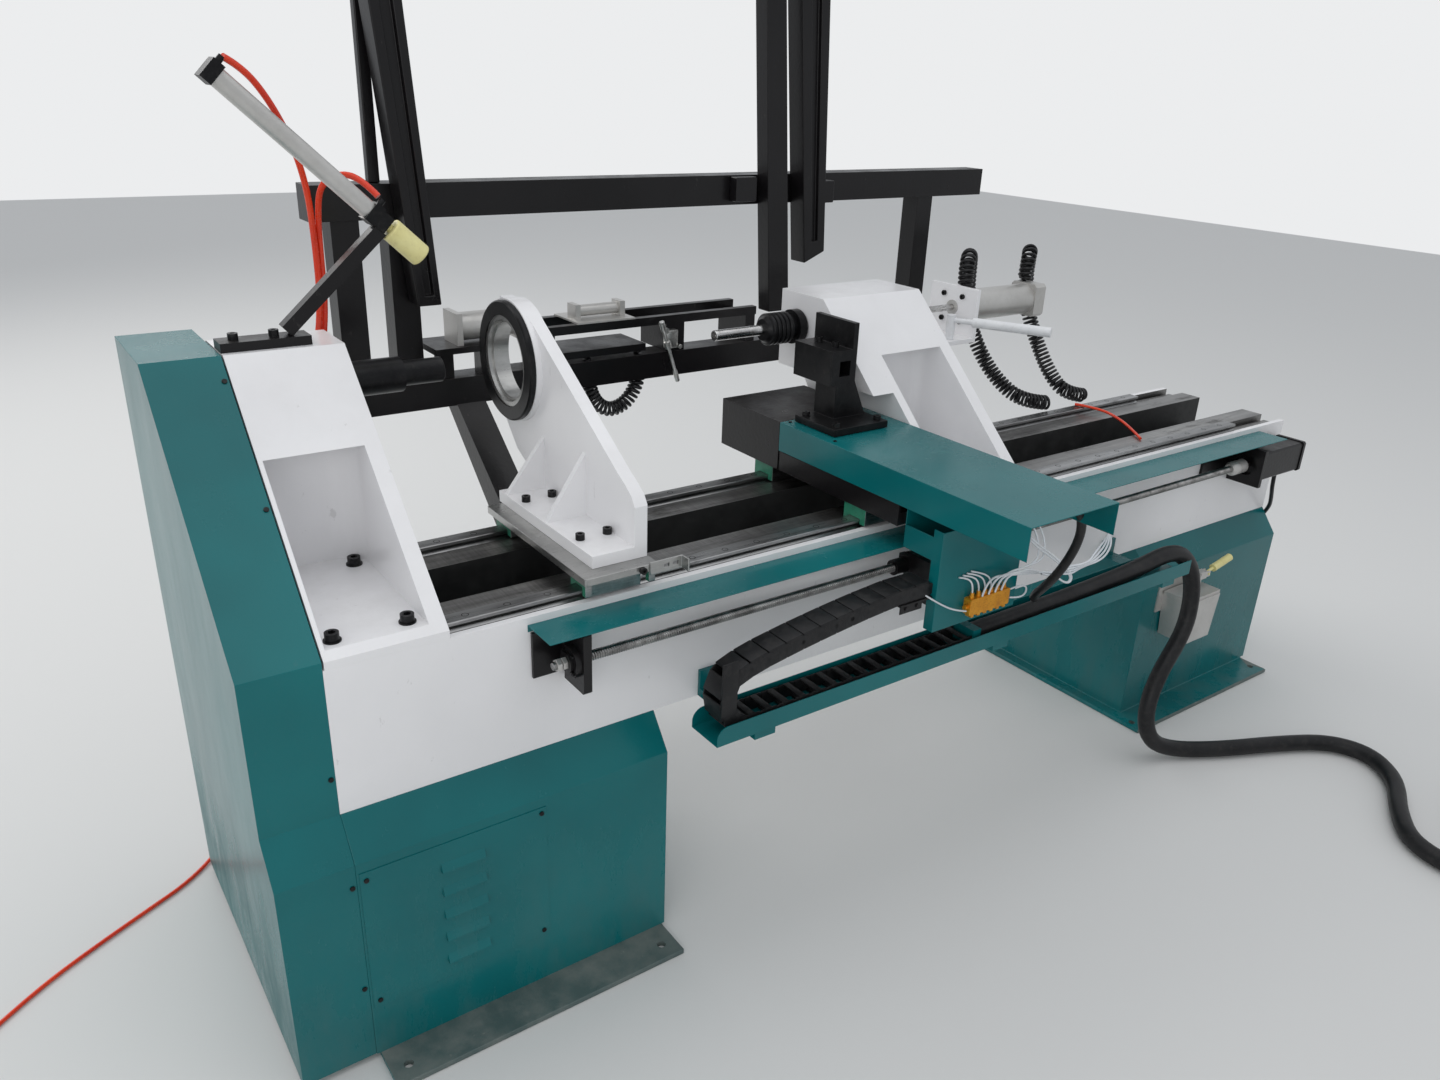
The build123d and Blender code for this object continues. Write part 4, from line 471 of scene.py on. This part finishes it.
conduit = {
    "diameter": 44, "coilX": 2310, "coilY": -1340, "coilRadius": 249, "turns": 2, "lie": 24, "layer": 44,
    "start": 190, "climb": 9,
}
conduitRoute = [
    (1055.3, -367, 558.3), (1330, -367, 558.3), (1640, -370, 571), (1800, -376, 600), (1880, -384, 548),
    (1912, -393, 452), (1890, -406, 350), (1770, -424, 252), (1728, -436, 160), (1752, -450, 72),
    (1838, -474, 26), (1960, -545, 24), (2130, -618, 24), (2260, -690, 24), (2300, -790, 24),
    (2230, -890, 24), (2090, -960, 24), (1985, -1040, 24), (1975, -1170, 24), (2040, -1270, 24),
]
for k in range(conduit["turns"] * cordLooks["turnPoints"]):
    angle = math.radians(conduit["start"] + cordLooks["turnStep"] * k)
    rise = min(max((k - conduit["climb"]) / cordLooks["climbPoints"], 0), 1)
    conduitRoute.append((
        conduit["coilX"] + conduit["coilRadius"] * math.cos(angle),
        conduit["coilY"] + conduit["coilRadius"] * math.sin(angle),
        conduit["lie"] + conduit["layer"] * rise,
    ))
conduitEnd = (-math.sin(angle), math.cos(angle), 0)
conduitCord = routeCurve("conduitCord", conduitRoute, conduit["diameter"] / 2000, blackPlastic, 6, 5)
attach(conduitCord, "frame")
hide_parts("conduit_hose", "conduit_coil")
print("conduit length", round(lengthOf(lineOf(conduitCord)), 3))

floorHose = {
    "diameter": 8, "coilX": -1040, "coilY": 10, "inside": 33, "outside": 65, "layers": 3, "turns": 4,
    "start": 40, "lie": 4.5, "layer": 7.8, "climb": 44,
}
floorRoute = [
    (-360, 458, 58), (-364, 500, 50), (-392, 518, 20), (-440, 474, 4.5), (-505, 418, 4.5), (-582, 378, 4.5),
    (-680, 326, 4.5), (-781, 268, 4.5), (-870, 200, 4.5), (-950, 130, 4.5), (-1005, 62, 4.5),
]
for layer in range(floorHose["layers"]):
    for k in range(floorHose["turns"] * cordLooks["turnPoints"]):
        angle = math.radians(floorHose["start"] + cordLooks["turnStep"] * k)
        wound = floorHose["diameter"] * k / cordLooks["turnPoints"]
        reach = floorHose["inside"] + wound if layer == 1 else floorHose["outside"] - wound
        climbed = min(max(k - floorHose["climb"], 0) / cordLooks["climbPoints"],
                      1) * (layer < floorHose["layers"] - 1)
        floorRoute.append((
            floorHose["coilX"] + reach * math.cos(angle),
            floorHose["coilY"] + reach * math.sin(angle),
            floorHose["lie"] + floorHose["layer"] * (layer + climbed),
        ))
floorEnd = (-math.sin(angle), math.cos(angle), 0)
floorCord = routeCurve("floorCord", floorRoute, floorHose["diameter"] / 2000, redTube, 4, 3)
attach(floorCord, "frame")
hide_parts("floor_hose", "floor_coil")
print("floor hose length", round(lengthOf(lineOf(floorCord)), 3))

# Plugs on the far ends of both cords: distance along the cord and radius, in mm
bm = bmesh.new()
conduitProfile = [
    (-18, 0), (-18, 22.4), (-14, 25), (4, 25), (6, 22), (34, 22), (36, 17), (46, 17), (48, 15), (48, 0),
]
turned(bm, conduitProfile, conduitRoute[-1], conduitEnd)
conduitPlug = keep("conduitPlug", bm, blackPlastic, False)
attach(conduitPlug, "frame")
bm = bmesh.new()
floorProfile = [(-6, 0), (-6, 4.4), (-4, 6), (6, 6), (7, 5), (13, 5), (14, 3), (14, 0)]
turned(bm, floorProfile, floorRoute[-1], floorEnd, 16)
floorPlug = keep("floorPlug", bm, aluminium, False)
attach(floorPlug, "frame")
lengthOf(lineOf(conduitCord))
lengthOf(lineOf(floorCord))
print("cords made")


# Hoses between the machine's own pieces
def spotsAlong(route):
    guide = routeCurve("guide", route, 0, None, 12)
    spots = lineOf(guide)
    bpy.data.objects.remove(guide)
    return spots


def helixOn(spots, look):
    total = lengthOf(spots)
    count = int(total / look["pitch"] * cordLooks["turnPoints"])
    side = Vector((1, 0, 0))
    points = []
    walked, leg = 0.0, 0
    for k in range(count + 1):
        at = total * k / count
        while leg < len(spots) - 2 and walked + (spots[leg + 1] - spots[leg]).length < at:
            walked += (spots[leg + 1] - spots[leg]).length
            leg += 1
        ahead = (spots[leg + 1] - spots[leg]).normalized()
        side = (side - ahead * side.dot(ahead)).normalized()
        angle = math.tau * k / cordLooks["turnPoints"]
        reach = look["reach"] * min(1, k / cordLooks["turnPoints"], (count - k) / cordLooks["turnPoints"])
        around = side * math.cos(angle) + ahead.cross(side) * math.sin(angle)
        points.append(tuple((spots[leg] + ahead * (at - walked) + reach * around) * 1000))
    return points


def lineCord(name, points, diameter, material, body, node=None, steps=8):
    cord = routeCurve(name, points, diameter / 2000, material, steps, 3)
    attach(cord, body)
    if node:
        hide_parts(node)
    lengthOf(lineOf(cord))


curl = {"reach": 0.019, "pitch": 0.0125, "diameter": 8}
curlRoutes = {
    "curlNear": [
        (1655, 310, 1166.6), (1662, 322, 1215), (1688, 340, 1256), (1722, 366, 1232), (1736, 376, 1160),
        (1752, 376, 1070), (1784, 350, 975), (1806, 286, 895), (1850, 214, 838), (1950, 196, 827),
    ],
    "curlFar": [
        (1911, 318, 1168.5), (1920, 322, 1215), (1944, 340, 1254), (1972, 364, 1228), (1984, 374, 1160),
        (2000, 366, 1070), (2018, 326, 975), (2020, 262, 890), (2040, 208, 838), (2120, 196, 827),
    ],
}
for name, route in curlRoutes.items():
    lineCord(name, helixOn(spotsAlong(route), curl), curl["diameter"], blackRubber, "tailstock",
             "coil_hoses", 2)

frameHoses = {
    "armRearHose": (12, redTube, [
        (-236, 262, 1693), (-205, 276, 1678), (-165, 300, 1634), (-125, 330, 1565), (-95, 365, 1480),
        (-85, 386, 1380), (-84, 392, 1270), (-96, 396, 1180), (-122, 392, 1112), (-134, 371.8, 1075),
    ]),
    "armFrontHose": (12, redTube, [
        (4, 266, 1466), (-18, 290, 1497), (-50, 322, 1503), (-74, 356, 1478), (-76, 380, 1420),
        (-73, 398, 1340), (-72, 404, 1250), (-84, 407, 1165), (-112, 400, 1096), (-134, 371.8, 1055),
    ]),
    "motorCable": (12, blackRubber, [
        (2470, -257, 670), (2478, -254, 618), (2512, -244, 566), (2548, -228, 520), (2566, -190, 460),
        (2568, -130, 400), (2562, -60, 340), (2545, -10, 300),
    ]),
    "bedHose": (8, redTube, [
        (2050, 176, 814), (2085, 110, 812), (2060, 20, 806), (2010, -60, 802), (1975, -110, 798),
    ]),
}
for name, (diameter, material, route) in frameHoses.items():
    lineCord(name, route, diameter, material, "frame", "frame_lines")

# Oil tubes from the distributor, and the conduit from the cover
oilPort = {"x": 980, "y": -420, "z": 687, "pitch": 20, "diameter": 4, "count": 6, "toLeft": 4}
for k in range(oilPort["count"]):
    x, y, z = oilPort["x"] + oilPort["pitch"] * k, oilPort["y"], oilPort["z"]
    if k < oilPort["toLeft"]:
        route = [
            (x, y, z + 4), (x - 2 - k, y - 2, z + 30), (x - 14 - 4 * k, y + 4, z + 48),
            (x - 40 - 8 * k, y + 7, z + 54 + 2 * k),
        ]
    else:
        route = [
            (x, y, z + 4), (x + 1, y - 6, z + 28), (x + 14, y - 16, z + 46), (x + 50, y - 24, z + 50),
            (x + 100, y - 20, z + 54), (x + 136, y + 14, z + 84), (x + 122, y + 50, z + 140),
            (1078 + 6 * k, y + 96, z + 184),
        ]
    lineCord("oilTube" + str(k + 1), route, oilPort["diameter"], whiteTube, "carriage", "carriage_lines")
coverRoute = [
    (1098, -560, 925), (1128, -556, 880), (1146, -540, 820), (1150, -510, 750), (1158, -470, 690),
    (1190, -420, 640), (1240, -385, 606),
]
lineCord("coverConduit", coverRoute, 20, blackPlastic, "carriage", "carriage_lines")

# Curly hose slung under the feeder's table
tableCurl = {"reach": 0.016, "pitch": 0.0115, "diameter": 8}
tableRoute = [
    (728, 535, 1046), (729, 533, 1010), (722, 530, 960), (690, 528, 915), (640, 528, 900), (600, 530, 925),
    (582, 533, 975), (578, 535, 1046),
]
lineCord("tableHose", helixOn(spotsAlong(tableRoute), tableCurl), tableCurl["diameter"], blackRubber,
         "frame", None, 2)

# White tubes that leave the distributor in a bundle, fold back under the cover or run to the left
oilBundle = {"thick": 4.6, "sway": 5, "count": 4, "folds": 2, "foldGap": 7}
for k in range(oilBundle["count"]):
    sway = oilBundle["sway"] * (k - (oilBundle["count"] - 1) / 2)
    x = oilPort["x"] + oilPort["pitch"] * (k + 1)
    route = [
        (x, -431, 690), (x + 3, -434, 714), (x + 22, -436, 728 - sway / 2),
        (x + 60, -437 - sway, 728 + sway / 2), (1140, -438 - sway, 717 + sway),
        (1207, -438 + sway, 697 - sway), (1275, -436 + sway, 686 + sway), (1339, -436 - sway, 686 + sway),
        (1390 - sway, -434 + sway, 696 + sway), (1421 - sway, -430 + sway, 719),
        (1423 - sway, -426 - sway, 755), (1398 - sway, -422 - sway, 792), (1345, -416 - sway, 835 + sway),
        (1290, -408 - sway, 872),
    ]
    lineCord("oilBundle" + str(k + 1), route, oilBundle["thick"], whiteTube, "carriage")
for k in range(oilBundle["folds"]):
    drop = oilBundle["foldGap"] * k
    route = [
        (1130, -432, 800 - drop), (1160, -436, 774 - drop), (1206, -438, 744 - drop),
        (1262, -440, 701 - 6 * k), (1292 - 6 * k, -440, 672), (1286 - 4 * k, -442, 657 + 3 * k),
        (1262, -444, 663), (1222, -446, 690), (1170, -446, 708),
    ]
    lineCord("oilFold" + str(k + 1), route, oilBundle["thick"], whiteTube, "carriage")
oilEnds = {
    "oilLead": [(958, -428, 664), (923, -426, 674), (890, -416, 692), (862, -396, 712), (846, -380, 724)],
    "oilReturn": [
        (1095, -428, 662), (1122, -430, 655), (1146, -430, 658), (1148, -430, 676), (1124, -430, 686),
        (1092, -430, 684),
    ],
}
for name, route in oilEnds.items():
    lineCord(name, route, oilPort["diameter"], whiteTube, "carriage")
print("hoses made")


# Solid shapes
def block(bm, center, size, bevel=1.0, turn=None, segments=2):
    grown = Matrix.Diagonal((*[v / 1000 for v in size], 1))
    place = Matrix.Translation(Vector(center) / 1000) @ (turn or Matrix.Identity(4)) @ grown
    made = bmesh.ops.create_cube(bm, size=1, matrix=place)["verts"]
    edges = list({edge for v in made for edge in v.link_edges})
    bmesh.ops.bevel(bm, geom=edges, offset=bevel / 1000, segments=segments, profile=0.5, affect="EDGES",
                    material=-1)


def prism(bm, center, direction, radius, length, sides=6, bevel=0.6):
    turn = Vector(direction).to_track_quat("Z", "Y").to_matrix().to_4x4()
    place = Matrix.Translation(Vector(center) / 1000) @ turn
    radius = radius / 1000
    made = bmesh.ops.create_cone(bm, cap_ends=True, segments=sides, radius1=radius, radius2=radius,
                                 depth=length / 1000, matrix=place)["verts"]
    if bevel:
        around = {e for v in made for e in v.link_edges}
        caps = [e for e in around if abs((e.verts[0].co - e.verts[1].co).dot(Vector(direction))) < 1e-6]
        bmesh.ops.bevel(bm, geom=caps, offset=bevel / 1000, segments=1, profile=0.5, affect="EDGES",
                        material=-1)


def sharpened(obj, angle=32):
    bm = bmesh.new()
    bm.from_mesh(obj.data)
    for face in bm.faces:
        face.smooth = True
    for edge in bm.edges:
        edge.smooth = edge.is_manifold and edge.calc_face_angle(0) < math.radians(angle)
    bm.to_mesh(obj.data)
    bm.free()


bodyOf = {node: body for body, held in frame["record"]["behaviour"]["bodies"].items() for node in held}


def standIn(name, bm, material, *replaced):
    obj = keep(name, bm, material)
    sharpened(obj)
    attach(obj, bodyOf[replaced[0]])
    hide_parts(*replaced)
    return obj


# Lead screw with its thread, nuts and coupling
screwLook = {
    "y": -257, "z": 712, "left": 133, "right": 2204, "lead": 5, "steps": 10, "nuts": (81.5, 92.5),
    "nutRadius": 12.4, "nutLength": 9,
    "groove": [(0, 10), (1.9, 10), (2.5, 9.0), (3.45, 8.4), (4.4, 9.0), (5, 10)],
}
screwLine = (0, screwLook["y"], screwLook["z"])
bm = bmesh.new()
made = [
    bm.verts.new(((screwLook["left"] + along) / 1000, 0, radius / 1000))
    for along, radius in screwLook["groove"]
]
edges = [bm.edges.new(pair) for pair in zip(made, made[1:])]
turns = int((screwLook["right"] - screwLook["left"]) / screwLook["lead"]) - 1
bmesh.ops.spin(bm, geom=made + edges, cent=(0, 0, 0), axis=(1, 0, 0), angle=math.tau * turns,
               dvec=(screwLook["lead"] / screwLook["steps"] / 1000, 0, 0), steps=screwLook["steps"] * turns,
               use_merge=False)
bmesh.ops.remove_doubles(bm, verts=bm.verts, dist=0.00002)
bmesh.ops.translate(bm, verts=bm.verts, vec=Vector(screwLine) / 1000)
leftEnd = [(70, 0), (70, 6.5), (71, 7.5), (133, 7.5), (134, 9.9), (138.5, 9.9), (138.5, 0)]
rightEnd = [(2196, 0), (2196, 9.9), (2204, 9.9), (2204, 8), (2302, 8), (2302, 0)]
for profile in (leftEnd, rightEnd):
    turned(bm, profile, screwLine, (1, 0, 0), 24)
standIn("leadScrew", bm, threadSteel, "ball_screw")
bm = bmesh.new()
for x in screwLook["nuts"]:
    prism(bm, (x, screwLook["y"], screwLook["z"]), (1, 0, 0), screwLook["nutRadius"], screwLook["nutLength"])
couplingProfile = [
    (2206, 8.1), (2206, 14.4), (2207, 15), (2215, 19.3), (2217, 20), (2238, 20), (2238, 18.6), (2240, 18.6),
    (2240, 20), (2271, 20), (2272, 19), (2272, 8.1),
]
turned(bm, couplingProfile, screwLine, (1, 0, 0), 40)
standIn("screwCoupling", bm, aluminium, "ball_screw")
print("lead screw made")

# Drag chain
chainLook = {
    "y": -367, "pitch": 42, "height": 36, "half": 30, "run": 554.6, "anchor": 1030.1, "wall": 4.4, "lid": 4,
    "bar": 15, "ribs": (-9, 0, 9),
}


def walkChain(points):
    joints = [points[0]]
    carry = 0.0
    for (ax, az), (bx, bz) in zip(points, points[1:]):
        length = math.hypot(bx - ax, bz - az)
        at = chainLook["pitch"] - carry
        while at <= length:
            joints.append((ax + (bx - ax) * at / length, az + (bz - az) * at / length))
            at += chainLook["pitch"]
        carry = length - (at - chainLook["pitch"])
    return joints


def chainLink(bm, a, b, covered):
    length = math.hypot(b[0] - a[0], b[1] - a[1])
    turn = Matrix.Rotation(-math.atan2(b[1] - a[1], b[0] - a[0]), 4, "Y")
    middle = Vector(((a[0] + b[0]) / 2, chainLook["y"], (a[1] + b[1]) / 2))
    half, height, wall, lid = chainLook["half"], chainLook["height"], chainLook["wall"], chainLook["lid"]

    def spot(along, across, up):
        return middle + turn @ Vector((along, across, up))

    for side in (-1, 1):
        block(bm, spot(0, side * (half - 2.4), 0), (length - 3, wall, height - 4), 1.6, turn)
        prism(bm, spot(-length / 2 + 2, side * (half - 1.6), 0), (0, side, 0), height / 2 - 3, 3.2, 20, 0.8)
        prism(bm, spot(-length / 2 + 2, side * (half - 0.4), 0), (0, side, 0), 5, 0.8, 12, 0)
        for along in chainLook["ribs"]:
            block(bm, spot(along, side * (half - 0.5), 0), (2.2, 0.9, height - 9), 0.3, turn, 1)
    if covered:
        for up in ((height - lid) / 2, (lid - height) / 2):
            block(bm, spot(0, 0, up), (length - 1.4, 2 * half - 3, lid), 1.3, turn)
    else:
        bar = (chainLook["bar"], 2 * half - 4, wall)
        for along, up in ((0, 1), (length / 2, -1)):
            block(bm, spot(along, 0, up * (height / 2 - 3.2)), bar, 1.4, turn)


bm = bmesh.new()
upperRun = walkChain([
    (872, 724), (788, 724), (700, 716), (640, 709), (546, 696), (462, 682), (400, 667), (374, 655),
    (360, 628), (359, 596), (372, 566), (400, 554.6),
])
for a, b in zip(upperRun, upperRun[1:]):
    chainLink(bm, a, b, True)
lowerRun = walkChain([(400, chainLook["run"]), (chainLook["anchor"], chainLook["run"])])
for a, b in zip(lowerRun, lowerRun[1:]):
    chainLink(bm, a, b, False)
block(bm, (362, chainLook["y"] - chainLook["half"] - 2, 645), (36, 3.6, 112), 1.2)
standIn("dragChain", bm, blackPlastic, "drag_chain")
print("chain made:", len(upperRun) + len(lowerRun) - 2, "links")

# Screw holes along the guide rails, drawn as flush dark discs of painted shade inside the holes
railHoles = {
    "y": (-165, 165), "first": -50, "last": 2290, "pitch": 80, "top": 808,
    "cap": [(-0.6, 0), (-0.6, 7), (0.05, 7), (0.12, 6.6), (0.12, 5.4), (-0.15, 5.2), (-0.15, 0)],
}
bm = bmesh.new()
for y in railHoles["y"]:
    for x in range(railHoles["first"], railHoles["last"], railHoles["pitch"]):
        turned(bm, railHoles["cap"], (x, y, railHoles["top"]), (0, 0, 1), 14)
railHoleShades = keep("railHoleShades", bm, paintedShadeDark)
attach(railHoleShades, "frame")
print("rail caps made")


# Castings and sheets with rounded edges: wide bevels on long outer edges only
def softened(nodeName, width, least, convex):
    bm = bmesh.new()
    bm.from_mesh(nodes[nodeName].data)
    bmesh.ops.remove_doubles(bm, verts=bm.verts, dist=0.00002)
    bmesh.ops.dissolve_limit(bm, angle_limit=math.radians(1), verts=bm.verts, edges=bm.edges)
    edges = [e for e in bm.edges if e.is_manifold and e.calc_length() > least / 1000]
    edges = [e for e in edges if e.calc_face_angle(0) > bevels["angle"]]
    if convex:
        edges = [e for e in edges if e.is_convex]
    bmesh.ops.bevel(bm, geom=edges, offset=width / 1000, segments=bevels["segments"], profile=0.5,
                    affect="EDGES", clamp_overlap=True, material=-1)
    words = nodeName.split("_")
    obj = standIn(words[0] + "".join(word.title() for word in words[1:]) + "Soft", bm, whitePaint, nodeName)
    weighted = obj.modifiers.new("flatFaces", "WEIGHTED_NORMAL")
    weighted.keep_sharp = True
    nodes[nodeName] = obj


bevels = {"angle": 0.6, "segments": 3, "wide": 3, "longEdge": 45, "anyEdge": 10}
softEdges = {
    "headstock_casting": 4, "tailstock_casting": 4, "rest_casting": 4, "rest_plate": 1.5, "bed": 1.5,
    "end_cover": 0.8, "left_pedestal": 2.5, "right_pedestal": 2.5, "slide_cover": 1.0, "chip_strip": 0.8,
    "cable_tray": 0.8, "apron": 1.5, "rear_cover": 0.8, "saddle": 1.2, "cross_slide": 0.7, "tool_post": 1.0,
    "feeder_frame": 3, "feeder_columns": 3, "feeder_table": 1.5, "feed_motor": 1.0, "arm_bracket": 1.5,
    "nut_bracket": 1.0, "screw_brackets": 1.0, "oil_distributor": 0.8, "rest_runners": 0.8,
    "carriage_runners": 0.8,
}
for nodeName, width in softEdges.items():
    isWide = width > bevels["wide"]
    softened(nodeName, width, bevels["longEdge"] if isWide else bevels["anyEdge"], isWide)
print("edges softened")

# Hand valve on the feeder's table
handValve = {
    "body": (806, 506, 1072), "size": (34, 18, 46), "top": (770, 494, 1121), "foot": (822, 494, 962),
    "upperPort": (786, 498, 1096), "lowerPort": (828, 498, 1052),
}
bm = bmesh.new()
block(bm, handValve["body"], handValve["size"], 2.5)
way = Vector(handValve["top"]) - Vector(handValve["foot"])
reach = way.length
stemProfile = [
    (0, 0), (0, 5), (2, 6.5), (30, 6.5), (34, 4.5), (92, 4.5), (94, 9), (112, 9), (114, 5), (reach - 30, 5),
    (reach - 26, 7.5), (reach - 2, 7.5), (reach, 6), (reach, 0),
]
turned(bm, stemProfile, handValve["foot"], way, 20)
prism(bm, handValve["upperPort"], (0, 1, 0), 8, 12, 6)
prism(bm, handValve["lowerPort"], (0, 1, 0), 6, 12, 6)
valve = keep("handValve", bm, zincSteel)
sharpened(valve)
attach(valve, "frame")
print("valve made")

# Finishes on the CAD nodes
plain = {
    "louver_panel": tealPaint, "end_cover": tealPaint, "headstock_casting": whitePaint,
    "rest_plate": satinSteel, "rest_casting": whitePaint, "spindle_bearings": groundSteel,
    "drive_belts": beltRubber, "spindle_motor": castIron, "chip_strip": tealPaint,
    "screw_brackets": blackPaint, "feed_motor": blackPaint, "cable_tray": tealPaint, "oil_pump": aluminium,
    "arm_bracket": blackPaint, "frame_screws": boltOxide, "feeder_frame": blackPaint,
    "feeder_columns": blackPaint, "feeder_table": blackPaint, "feeder_pushers": aluminium,
    "spindle": oxideSteel, "motor_pulley": castIron, "rest_ring": oxideSteel, "rest_bolts": boltOxide,
    "rest_bearing": satinSteel, "saddle": blackPaint, "rear_cover": blackPaint, "cross_motor": blackPaint,
    "apron": tealPaint, "nut_bracket": blackPaint, "oil_distributor": orangeMetal,
    "cross_screw": groundSteel, "cross_slide": oxideSteel, "slide_cover": tealPaint, "tool_post": oxideSteel,
    "post_screws": boltOxide, "tailstock_casting": whitePaint, "tailstock_bolts": boltOxide,
    "tail_sleeve": oxideSteel, "quill_cylinder": aluminium, "quill": groundSteel, "live_centre": groundSteel,
    "clamp_lever": whitePlastic, "arm_rod": creamPlastic, "pump_lever": creamPlastic,
    "guide_rails": railSteel,
}
for nodeName, material in plain.items():
    dress(nodeName, (material,))
borders = {
    "plateTop": 0.0121, "plateInside": 0.2, "gapHalf": 0.0745, "gapTop": 0.79, "bedSide": 0.2075,
    "bedLow": 0.74, "lipSide": 0.1925, "rearCap": -0.236, "frontCap": -0.030,
}


def isPlate(center, normal):
    return center.z < borders["plateTop"] and abs(center.y) > borders["plateInside"]


def inGap(center, normal):
    return abs(center.y) < borders["gapHalf"] and center.z < borders["gapTop"]


def isPainted(center, normal):
    onLip = abs(center.y) > borders["lipSide"] and center.z > borders["gapTop"]
    return abs(center.y) > borders["bedSide"] or center.z < borders["bedLow"] or onLip


def isCap(center, normal):
    return center.x < borders["rearCap"] or center.x > borders["frontCap"]


for nodeName in ("left_pedestal", "right_pedestal"):
    dress(nodeName, (basePaint, isPlate), (tealPaint,))
# Faces deep between the bed beams take the near-black painted shade; the white is paint and the rest planed
# steel
dress("bed", (paintedShadeDark, inGap), (whitePaint, isPainted), (bedSteel,))
for nodeName in ("rest_runners", "carriage_runners"):
    dress(nodeName, (sealGreen, lambda c, n: abs(n.x) > 0.9), (blockSteel,))
dress("arm_cylinder", (oxideSteel, isCap), (aluminium,))
print("nodes dressed")

# Floor
floorMat, _, floorShader, _ = newMaterial("floorPale", rough=light["floorRough"])
floorShader.inputs["Base Color"].default_value = (*light["floor"], 1)
bm = bmesh.new()
bmesh.ops.create_grid(bm, x_segments=1, y_segments=1, size=14)
floorMesh = bpy.data.meshes.new("floor")
bm.to_mesh(floorMesh)
bm.free()
floorMesh.materials.append(floorMat)
floor = bpy.data.objects.new("floor", floorMesh)
scene.collection.objects.link(floor)
floor.location.z = -0.0005
